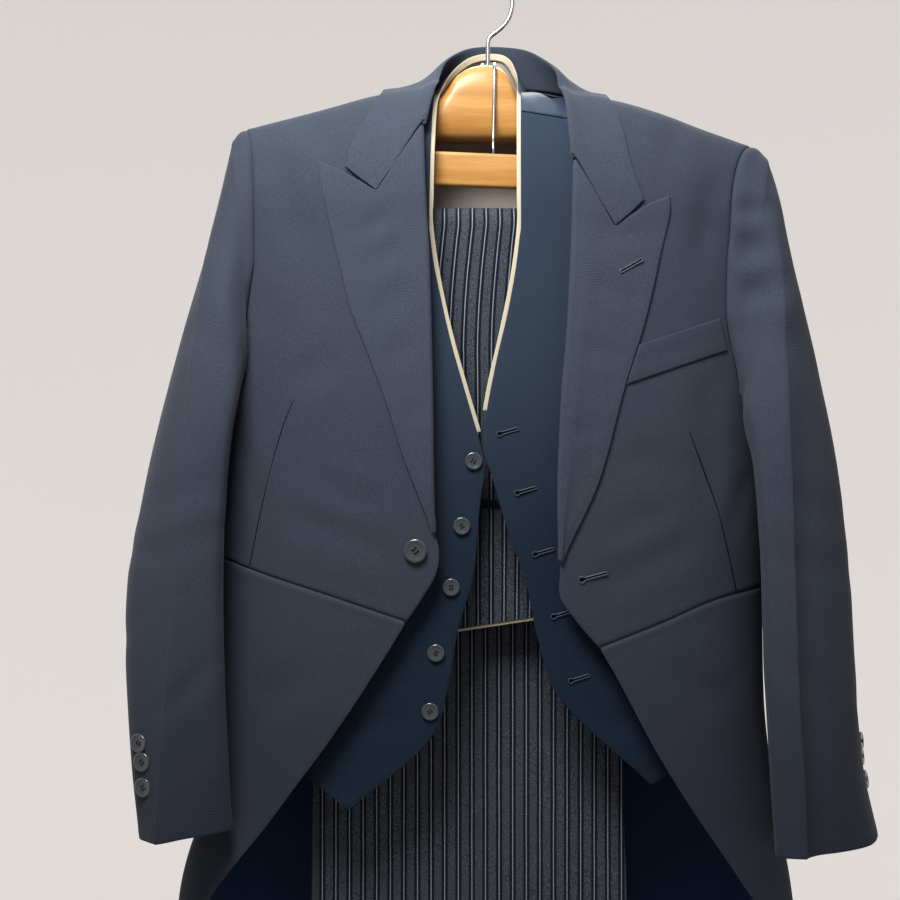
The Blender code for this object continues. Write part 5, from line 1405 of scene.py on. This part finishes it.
def build_sleeves(m):
    for side, sign in SIDES.items():
        at = functools.partial(sleeve_point, side)
        folds = creases(SLEEVE_FOLDS[side], at)
        halves = (("sleeve_top_", BACK_SEAM_EIGHTH - 8, FRONT_SEAM_EIGHTH, 19, sign, 2.0),
                  ("sleeve_under_", FRONT_SEAM_EIGHTH, BACK_SEAM_EIGHTH, 15, -sign, 3.4))
        for name, start, end, count, way, step in halves:
            eighths = spread(start + SLEEVE_SEAM_GAP, end - SLEEVE_SEAM_GAP, count)
            rows = sampled(at, [0, 0.5] + spread(1, 9, 33), eighths)
            cloth(name + side, rows, SLEEVE_WALL, [m["coat"], m["lining"]], (way, 0, 0), "coat_cloth",
                  (4.6, step), folds, "u0v0v1", 0.5, extra=sleeve_shape(side, eighths))


# ---------------------------------------------------------------- waistcoat
def lapped_skin(side, x, z):
    """The waistcoat's front surface and normal, with the lap of the fronts."""
    point, normal = VEST.skin(side, x, z)
    point[1] -= vest_lap(side, x, z)
    return point, normal


def slip_rows():
    line = neck_line()
    ways = np.gradient(np.array([point for point, _ in line]), axis=0)
    rows = []
    for (point, normal), way in zip(line, ways):
        across = np.cross(way, normal)
        across /= np.linalg.norm(across)
        centre = np.array((VEST_MIDDLE_X - point[0], 0, 0)) if point[1] < 5 else np.array((0, 0, 1.0))
        across *= math.copysign(1.0, np.dot(across, centre))
        under = SLIP_UNDER if point[1] < -8 else 2.0
        seat = point - normal * (VEST_WALL + SLIP_GAP)
        rows.append([seat - across * under, seat, seat + across * SLIP_SHOW])
    return rows


def build_vest(m):
    for side in SIDES:
        rows = sampled(functools.partial(vest_front_point, side), spread(0, 1, 12),
                       yoke_heights(8, 52, 0.985) + [0.99, 0.995, 1])
        folds = creases(VEST_FOLDS[side], functools.partial(VEST.on, side))
        obj = cloth("vest_front_" + side, rows, VEST_WALL, [m["vest"], m["vest_lining"], m["vest_satin"]],
                    (0, -1, 0), "vest_cloth", 3.6, folds, "v0", 0.5)
        if side == "L":
            line = tuple((x * MM, z * MM) for x, z in YOKE_SEAM)
            for face in obj.data.polygons:
                if face.material_index == 0 and face.center[2] > track(line, 1, face.center[0]):
                    face.material_index = 2
    cloth("vest_back", sampled(vest_back_point, spread(0, 1, 45), yoke_heights(7, 12)), VEST_WALL,
          [m["vest_satin"], m["vest_lining"]], (0, 1, 0), "vest_back_satin", 5.0, (), "v0", 0.8)
    cloth("vest_slip", slip_rows(), SLIP_WALL, [m["ivory"]] * 2, (0, 1, 0.5), "ivory_slip", 2.0, (), "", 0.1)


# ---------------------------------------------------------------- trousers
def leg_rings(side, stops, cut):
    """Rings of a folded leg over the bar: two flat layers joined by round edges, cut deep inside."""
    offset = BAR_GAP + (LEG_THICK + SEAM_GAP) * (1 if side == "R" else 0)
    half, turn = LEG_THICK / 2, LEG_FOLD - cut
    rounds = [(math.sin(a), math.cos(a)) for a in spread(0.35, math.pi - 0.35, 7)]
    rings = []
    for stop in stops:
        left, right = [track(LEG_EDGES[side], column, stop) for column in (1, 2)]
        left, right = left + LEG_FOLD, right - LEG_FOLD
        middle, way = fold_path(stop, offset + half)
        flat = spread(left, right, 48)
        section = [(x, 1.0) for x in flat] + [(right + turn * s, c) for s, c in rounds]
        section += [(x, -1.0) for x in flat[::-1]] + [(left - turn * s, -c) for s, c in rounds]
        ring = []
        for x, level in section:
            y, z = middle + way * (half - cut) * level
            slope = WAIST_SLOPE * (x - WAIST_MIDDLE) * max(0.0, 1 - stop / 60)
            ring.append((x, y, z + slope))
        rings.append(ring)
    return np.array(rings)


def leg_shell(name, outer, inner, stripes, mats):
    count, width = outer.shape[:2]
    base = count * width
    faces, slots = two_sides(quads(count, width), base)
    for i in (0, count - 1):
        for j in range(width):
            a, b = i * width + j, i * width + (j + 1) % width
            quad = (a, base + a, base + b, b)
            faces.append(quad if i == 0 else quad[::-1])
            slots.append(0)
    way = np.cross(outer[0, 1] - outer[0, 0], outer[1, 0] - outer[0, 0])
    if np.dot(way, outer[0, 0] - outer[0].mean(axis=0)) < 0:
        faces = [face[::-1] for face in faces]
    flat = np.stack((stripes, runs(outer, 0)), axis=2).reshape(-1, 2)
    vertices = np.concatenate((outer.reshape(-1, 3), inner.reshape(-1, 3)))
    return piece(name, vertices, faces, mats, slots, np.concatenate((flat, flat)), crease=75.0)


def stripe_places(outer, stop):
    """Stripe coordinate of each point: x, sheared at the darts and leaning near the bar."""
    x = outer[..., 0]
    taken = np.clip((230 - stop) / 230, 0, 1) * 0.085 * np.abs(x - DART_X)
    lean = STRIPE_LEAN * (np.clip(stop - WAIST_DROP + 110, 0, 110) / 110) ** 1.6
    return x + np.sign(x - DART_X) * taken + 0.012 * (stop - 350) * (stop < 360) - lean


def build_legs(m):
    over = WAIST_DROP + OVER_BAR
    stops = spread(0, WAIST_DROP - 2, 60) + [WAIST_DROP + OVER_BAR * k / 14 for k in range(1, 14)]
    stops += spread(over + 2, over + HEM_DROP, 98)
    stop = np.array(stops)[:, None]
    folds = creases(LEG_FOLDS, lambda x, z: (x, BAR_Y - BAR_R - BAR_GAP - LEG_THICK, z))
    for side in SIDES:
        outer, inner = leg_rings(side, stops, 0.0), leg_rings(side, stops, LEG_CLOTH)
        stripes = stripe_places(outer, stop)
        normals = outer - inner
        normals /= np.linalg.norm(normals, axis=2, keepdims=True)
        height = press(outer, normals, folds) + drift(outer, 0.35, 140, 3) * (stop > 30)
        lift = normals * np.maximum(height, LEG_DEEPEST)[..., None]
        name = "trousers_leg_" + side
        obj = leg_shell(name + "_cloth", outer + lift, inner + lift, stripes, [m["stripe"], m["vest_lining"]])
        stand_in(obj, "trouser_cloth", name)


# ---------------------------------------------------------------- buttons and buttonholes
def button_mesh(mat):
    """Turned horn button, 20 mm wide: rim, dish and four drilled holes."""
    rings = [[(share * c * 10, share * s * 10, height) for c, s in circle(40)]
             for share, height in BUTTON_PROFILE]
    body = tube("button_pattern", rings, mat, 35.0)
    cutters = []
    for k in range(4):
        a = math.pi / 4 + k * math.pi / 2
        x, y = HOLE_RADIUS * math.cos(a), HOLE_RADIUS * math.sin(a)
        cutters.append(rod(f"drill_{k}", [(x, y, -1.0), (x, y, 1.0), (x, y, 4.0)], DRILL_R, mat, 12))
    for cutter in cutters:
        drill = body.modifiers.new("drill", "BOOLEAN")
        drill.object = cutter
        drill.solver = "EXACT"
    mesh = bpy.data.meshes.new_from_object(body.evaluated_get(bpy.context.evaluated_depsgraph_get()))
    for obj in [body] + cutters:
        bpy.data.objects.remove(obj, do_unlink=True)
    smooth(mesh, 35.0)
    return mesh


def put_button(name, pattern, seat, normal, diameter, spin, thread):
    """Button turned by spin on its seat, with two sewn threads over its holes."""
    normal = np.array(normal, float) / np.linalg.norm(normal)
    across = np.cross(normal, (0.0, 0.0, 1.0))
    across /= np.linalg.norm(across)
    turned = across * math.cos(spin) + np.cross(across, normal) * math.sin(spin)
    other = np.cross(normal, turned)
    scale = diameter / COAT_BUTTON_D
    tall = min(1.0, scale * 1.1)
    matrix = np.stack((turned * scale, other * scale, normal * tall), axis=1)
    mesh = pattern.copy()
    points = np.empty(len(mesh.vertices) * 3)
    mesh.vertices.foreach_get("co", points)
    points = points.reshape(-1, 3) / MM @ matrix.T + seat
    mesh.vertices.foreach_set("co", (points * MM).reshape(-1))
    mesh.update()
    stand_in(linked(name + "_turned", mesh), "button_horn", name)
    reach = HOLE_RADIUS * scale / math.sqrt(2)
    for n, way in enumerate((-1, 1)):
        path = []
        for t in spread(-1, 1, 9):
            arch = THREAD_ARCH[0] + THREAD_ARCH[1] * math.sqrt(1 - t * t) if abs(t) < 1 else THREAD_ARCH[2]
            path.append(seat + turned * (way * reach) + other * (t * reach) + normal * arch * tall)
        stand_in(rod(f"{name}_thread_{n + 1}", path, THREAD_R * scale, thread, 8), "button_horn")


def build_buttons(m):
    pattern = button_mesh(m["horn"])
    places = []
    seat, normal = COAT.skin("R", *COAT_BUTTON)
    places.append(("coat_button", seat + normal * BUTTON_OFF, normal, COAT_BUTTON_D, 0.9))
    for side, spots in CUFF_SEATS.items():
        for number, spot in enumerate(spots, 1):
            seat, normal = sleeve_front(side, *spot)
            normal = normal + CUFF_BUTTON_WAY
            places.append((f"cuff_button_{side}{number}", seat - normal * CUFF_BUTTON_SINK[side], normal,
                           CUFF_BUTTON_D, 0.4 * number))
    for number, spot in enumerate(VEST_BUTTONS, 1):
        seat, normal = VEST.skin("R", *spot)
        places.append((f"vest_button_{number}", seat + normal * VEST_BUTTON_OFF, normal, VEST_BUTTON_D,
                       0.5 * number))
    for side in SIDES:
        z = waist_z(side, 1.0) + 2
        seat = COAT.ring(side, BACK_BUTTON_TURN, z)
        normal = np.cross(COAT.ring(side, BACK_BUTTON_TURN + 0.02, z) - seat, (0, 0, 1.0))
        normal *= math.copysign(1.0, normal[1]) / np.linalg.norm(normal)
        places.append(("back_button_" + side, seat + normal * BUTTON_OFF, normal, COAT_BUTTON_D, 0.3))
    for name, seat, normal, diameter, spin in places:
        put_button(name, pattern, seat, normal, diameter, spin, m["thread"])


def buttonhole(name, skin, centre, shape, mat, dark, slot):
    """Sewn keyhole: a corded loop round a slit, with a round eye at its inner end; the slit is filled by a
    near-black tube, painted shade.
    """
    tilt, length, eye = shape
    c, s = math.cos(math.radians(tilt)), math.sin(math.radians(tilt))
    half, wide = length / 2, CORD_WIDE

    def lifted(a, b, rise):
        point, normal = skin(centre[0] + a * c - b * s, centre[1] + a * s + b * c)
        return point + normal * rise

    outline = [(-half, wide), (-half, -wide)]
    if eye:
        outline = [(-half + eye + eye * math.cos(a), eye * math.sin(a))
                   for a in spread(0.75, 2 * math.pi - 0.75, 13)]
    outline += [(x, -wide) for x in spread(-half + eye * 2.2, half - 0.6, 8)]
    outline += [(half, -0.6), (half, 0.6)]
    outline += [(x, wide) for x in spread(half - 0.6, -half + eye * 2.2, 8)]
    path = [lifted(a, b, 0.25) for a, b in outline + outline[:2]]
    stand_in(rod(name + "_cord", path, CORD_R, mat, 8), slot)
    rings = []
    for a in spread(-half + 1.0, half - 1.0, 10):
        low, middle, high = [lifted(a, b, 0.12 if b else 0.2) for b in (-SLIT_WIDE, 0, SLIT_WIDE)]
        rings.append([low, middle, high, middle + (0, 0.3, 0)])
    # near-black tube in the slit: painted shade of its opening
    stand_in(tube(name + "_slit", rings, dark), slot)


def build_sewing(m):
    cord, slit = m["coat_cord"], m["slit"]
    for number, spot in enumerate(VEST_HOLES, 1):
        buttonhole(f"vest_buttonhole_{number}", functools.partial(lapped_skin, "L"), spot, VEST_HOLE_SHAPE,
                   m["vest_cord"], slit, "vest_cloth")
    buttonhole("coat_buttonhole", functools.partial(COAT.skin, "L"), COAT_HOLE, COAT_HOLE_SHAPE, cord, slit,
               "coat_cloth")
    buttonhole("lapel_buttonhole", lambda x, z: COAT.skin("L", x, z, LAPEL_LIFT + LAPEL_HOLE_RISE),
               LAPEL_HOLE, LAPEL_HOLE_SHAPE, cord, slit, "coat_cloth")
    seams = []
    for side, places in COLLAR_END.items():
        corners = np.array(places, float)
        path = []
        for a, b in zip(corners, corners[1:]):
            way = (b - a) / np.linalg.norm(b - a)
            off = np.array((way[1], -way[0])) * SIDES[side] * GORGE_OFF
            path += [COAT.on(side, *(mix(a, b, t) + off), LAPEL_LIFT + 1.0) for t in spread(0, 1, 12)]
        seams.append(("gorge_seam_" + side, path, GORGE_SEAM_R, "coat_cloth"))
    path = []
    for x in spread(YOKE_SEAM[0][0], YOKE_SEAM[-1][0], 20):
        point, normal = lapped_skin("L", x, track(YOKE_SEAM, 1, x))
        path.append(point + normal * 0.1)
    seams.append(("yoke_seam", path, YOKE_SEAM_R, "vest_cloth"))
    for side, places in DARTS.items():
        rows = tuple((z, x) for x, z in places)
        path = [COAT.on(side, track(rows, 1, z), z, 0.05) for z in spread(places[0][1], places[-1][1], 24)]
        seams.append(("dart_seam_" + side, path, DART_SEAM_R, "coat_cloth"))
    # each seam is a near-black rod, painted shade along its line
    for name, path, radius, slot in seams:
        stand_in(rod(name, path, radius, m["seam"], 6), slot)


# ---------------------------------------------------------------- trims and hangers
def build_trims(m):
    edge = tuple((z, x) for x, z in LAPEL_OUTER["L"])
    ends = []
    for s in spread(0, 1, 5):
        near_z = mix(*WELT_AT_LAPEL_Z, s)
        ends.append(((track(edge, 1, near_z) + 1.2, near_z), mix(*np.array(WELT, float), s)))
    rows = [[COAT.on("L", mix(near[0], far[0], t), mix(near[1], far[1], t), WELT_WALL + 0.7)
             for near, far in ends] for t in spread(0, 1, 14)]
    cloth("chest_welt", rows, WELT_WALL, [m["coat"]] * 2, (0, -1, 0), "coat_cloth", 3.0, (), "", 0.1)
    left, right, top, bottom = POCKET
    face = BAR_Y - BAR_R - BAR_GAP - 2 * LEG_THICK - SEAM_GAP
    rows = [[(x, face - SEAM_GAP - 1.0 + rise, z) for x in spread(left, right, 8)]
            for z, rise in ((top, 0.5), ((top + bottom) / 2, 0.0), (bottom, 0.5))]
    cloth("trousers_pocket_welt", rows, 1.0, [m["welt"]] * 2, (0, -1, 0), "trouser_cloth", 2.5, (), "", 0.05)
    left, right = LEG_EDGES["R"][0][1] + 6, LEG_EDGES["R"][0][2] - 6
    y = BAR_Y - BAR_R - BAR_GAP - LEG_THICK - SEAM_GAP - 1.2
    low = BAR_Z - WAIST_DROP
    rows = [[(x, y, low + WAIST_SLOPE * (x - WAIST_MIDDLE) - drop * (0.3 + 0.7 * s))
             for x, s in zip(spread(left, right, 8), spread(0, 1, 8))] for drop in (0.3, 1.9, 3.6)]
    cloth("trousers_waist_lining", rows, 0.9, [m["ivory"]] * 2, (0, -1, 0), "ivory_slip", 2.5, (), "", 0.1)


def shoulder_rings():
    """Rings of the wooden hanger, rounded off at both ends."""
    first, last = HANGER[0][0], HANGER[-1][0]
    rings = []
    for x in spread(first, last, 150):
        top, bottom, deep, square = [track(HANGER, c, x) for c in (1, 2, 3, 4)]
        ends = min((x - first) / 7, (last - x) / 7, 1.0)
        swell = math.sqrt(max(0.02, 1 - (1 - ends) ** 2))
        middle, tall, power = (top + bottom) / 2, (top - bottom) / 2 * swell, 2 / square
        rings.append([(x, swell * deep * math.copysign(abs(c) ** power, c),
                       middle + tall * math.copysign(abs(s) ** power, s)) for c, s in circle(56)])
    return rings


def build_wires(steel):
    cx, cz = HOOK_CENTRE
    head_top = track(HANGER, 1, cx)
    knots = [(cx, 0, head_top - 2), (cx, 0, -66), (cx, 0, -57), (0.6, 0, -51.5), (6, 0, -47), (13, 0, -41),
             (18.4, 0, -33)]
    knots += [(cx + HOOK_R * math.cos(a), 0, cz + HOOK_R * math.sin(a))
              for a in map(math.radians, spread(-12, HOOK_END, 15))]
    path = [along(tuple(tuple(float(c) for c in k) for k in knots), u) for u in spread(0, 1, 120)]
    stand_in(rod("hook_wire", path, HOOK_WIRE_R, steel, 18), "hook_steel", "hanger_hook")
    path = [(cx, 0, head_top + rise) for rise in (-1, 1.0, 2.2)]
    stand_in(rod("hook_collar", path, 3.6, steel, 20), "hook_steel")
    foot = rail_z(3.0) + RAIL_TALL / 2 - 2
    knots = ((3, RAIL_Y, foot), (3, RAIL_Y, foot + 6), (3.2, -23.5, foot + 20), *RAIL_WIRE)
    path = [along(knots, u) for u in spread(0, 1, 90)]
    stand_in(rod("rail_wire", path, WIRE_R, steel, 14), "hook_steel", "trouser_hanger_hook")


def link_ring(x, middle, tall, inset):
    """Outline of an end plate: two straight sides with half rounds above and below."""
    ring, deep = [], LINK_DEEP
    for a in map(math.radians, spread(0, 360 * (1 - 1 / 32), 32)):
        c, s = math.cos(a), math.sin(a)
        ring.append((x, (RAIL_Y + BAR_Y) / 2 + c * (deep / 2 - inset),
                     middle + math.copysign(tall / 2 - deep / 2, s) + s * (deep / 2 - inset)))
    return ring


def build_hangers(m):
    wood, steel = m["wood"], m["steel"]
    stand_in(tube("hanger_shoulders", shoulder_rings(), wood, 50.0), "hanger_wood", "hanger_body")
    build_wires(steel)
    cut = RAIL_ROUND
    outline = []
    for qy, qz, a0 in ((1, 1, 0), (1, -1, -90), (-1, -1, -180), (-1, 1, -270)):
        for a in map(math.radians, spread(a0 + 90, a0, 6)):
            outline.append((qy * (RAIL_THICK / 2 - cut) + cut * math.cos(a),
                            qz * (RAIL_TALL / 2 - cut) + cut * math.sin(a)))
    rings = [[(x, RAIL_Y + dy, rail_z(x) + dz) for dy, dz in outline] for x in spread(*RAIL, 30)]
    stand_in(tube("rail", rings, wood, 35.0), "hanger_wood", "trouser_hanger_rail")
    left, right = RAIL
    ends = [(left, 0.9), (left + 1.5, 1.0)] + [(x, 1.0) for x in spread(left + 5, right - 5, 24)]
    ends += [(right - 1.5, 1.0), (right, 0.9)]
    rings = [[(x, BAR_Y + BAR_R * r * c, BAR_Z + BAR_R * r * s) for c, s in circle(32)] for x, r in ends]
    stand_in(tube("bar", rings, wood, 50.0), "hanger_wood", "trouser_hanger_bar")
    middle, tall = (RAIL_Z + BAR_Z) / 2 - 4, RAIL_Z - BAR_Z + LINK_PAST
    for side, x in (("R", left - LINK_THICK - SEAM_GAP), ("L", right + SEAM_GAP)):
        rings = [link_ring(x + dx, middle, tall, inset)
                 for dx, inset in ((0, 0.6), (0.5, 0), (LINK_THICK - 0.5, 0), (LINK_THICK, 0.6))]
        stand_in(tube("link_" + side, rings, steel, 30.0), "hook_steel", "trouser_hanger_link_" + side)


# ---------------------------------------------------------------- studio
def build_wall():
    """Round studio wall and floor in one sweep; its glow turns from bright behind to dark before."""
    n = Nodes("studio_paper", (0.34, 0.335, 0.33), 0.95, Emission_Strength=1.0)
    glow = n.blend(n.step(n.split(n.place())[1], *WALL_TURN), WALL_GLOW[1], WALL_GLOW[0])
    n.tree.links.new(glow, n.shader.inputs["Emission Color"])
    n.mat.cycles.emission_sampling = "NONE"
    sides, bend = 72, 0.8
    profile = [(1.6, FLOOR_Z)]
    profile += [(2.4 + bend * math.sin(a), FLOOR_Z + bend - bend * math.cos(a))
                for a in spread(0, math.pi / 2, 9)]
    profile += [(3.2, 0.4), (3.2, 3.4)]
    vertices = [(r * c, r * s, z) for r, z in profile for c, s in circle(sides)] + [(0.0, 0.0, FLOOR_Z)]
    faces = [(len(vertices) - 1, j, (j + 1) % sides) for j in range(sides)]
    faces += [(a, d, c, b) for a, b, c, d in quads(len(profile), sides)]
    mesh = bpy.data.meshes.new("studio")
    mesh.from_pydata(vertices, [], faces)
    mesh.materials.append(n.mat)
    mesh.shade_smooth()
    linked("studio", mesh)


def build_studio():
    build_wall()
    scene = bpy.context.scene
    world = bpy.data.worlds.new("studio_light")
    world.use_nodes = True
    sky = world.node_tree.nodes["Background"].inputs
    sky[0].default_value = (1.0, 0.985, 0.97, 1.0)
    sky[1].default_value = WORLD_LIGHT
    scene.world = world
    scene.view_settings.view_transform = "Standard"
    for name, place, aim, size, watts, tint in LAMPS:
        lamp = bpy.data.lights.new(name, "AREA")
        lamp.shape = "DISK"
        lamp.size = size
        lamp.energy = watts
        lamp.color = tint
        light = bpy.data.objects.new(name, lamp)
        light.location = place
        light.visible_camera = False
        light.rotation_euler = (Vector(aim) - Vector(place)).to_track_quat("-Z", "Y").to_euler()
        scene.collection.objects.link(light)
    camera = bpy.data.cameras.new("camera")
    camera.lens, camera.sensor_width = LENS
    camera.clip_end = 20.0
    eye = bpy.data.objects.new("camera", camera)
    eye.location = EYE
    eye.rotation_euler = (math.pi / 2, 0.0, 0.0)
    scene.collection.objects.link(eye)
    scene.camera = eye


def build_materials():
    return {
        # the coat's colour is darker towards the skirts: painted shade
        "coat": wool("coat_wool", (0.0312, 0.0366, 0.0510), 1.4, 0.05,
                     painted_light_by_height=(-500, -800, (0.0262, 0.0308, 0.0440))),
        # the lapels' and collar's wool is the coat's wool made lighter: painted light
        "facing": wool("facing_wool", (0.0352, 0.0413, 0.0572), 1.4, 0.06),
        # the waistcoat's colour is lighter towards the neck: painted light
        "vest": wool("vest_wool", (0.0102, 0.0172, 0.0295), 1.3, 0.03, 0.05,
                     painted_light_by_height=(-540, -330, (0.0245, 0.0350, 0.0545))),
        "welt": wool("welt_wool", (0.007, 0.009, 0.014), 1.5, 0.03, 0.05),
        "lining": satin("coat_lining", (0.008, 0.013, 0.026), 0.4, 0.3),
        "tail": satin("tail_lining", (0.0080, 0.0190, 0.047), 0.5, 0.06),
        "vest_satin": satin("vest_back_satin", (0.022, 0.032, 0.054), 0.42, 0.3),
        "vest_lining": satin("vest_lining", (0.31, 0.26, 0.225), 0.5, 0.3),
        "ivory": plain("ivory_cotton", (0.50, 0.43, 0.30), 0.75, 0.15),
        "stripe": striped_cloth("striped_wool"),
        "horn": plain("horn", (0.045, 0.054, 0.062), 0.2, 0.35, Specular_IOR_Level=1.0),
        "thread": plain("button_thread", (0.008, 0.010, 0.014), 0.7, Specular_IOR_Level=0.1),
        "vest_cord": plain("buttonhole_silk_vest", (0.03, 0.042, 0.062), 0.5, Specular_IOR_Level=0.3),
        "coat_cord": plain("buttonhole_silk_coat", (0.055, 0.066, 0.088), 0.5, Specular_IOR_Level=0.3),
        "slit": plain("slit_shadow", (0.002, 0.003, 0.005), 0.9, Specular_IOR_Level=0.0),
        "seam": plain("seam_shadow", (0.005, 0.007, 0.012), 0.9, Specular_IOR_Level=0.0),
        "wood": beech("beech"),
        "steel": plain("polished_wire", (0.44, 0.43, 0.45), 0.24, Metallic=1.0),
    }


def main():
    materials = build_materials()
    for build in (build_coat, build_sleeves, build_vest, build_legs, build_trims, build_buttons, build_sewing,
                  build_hangers):
        build(materials)
    build_studio()


main()
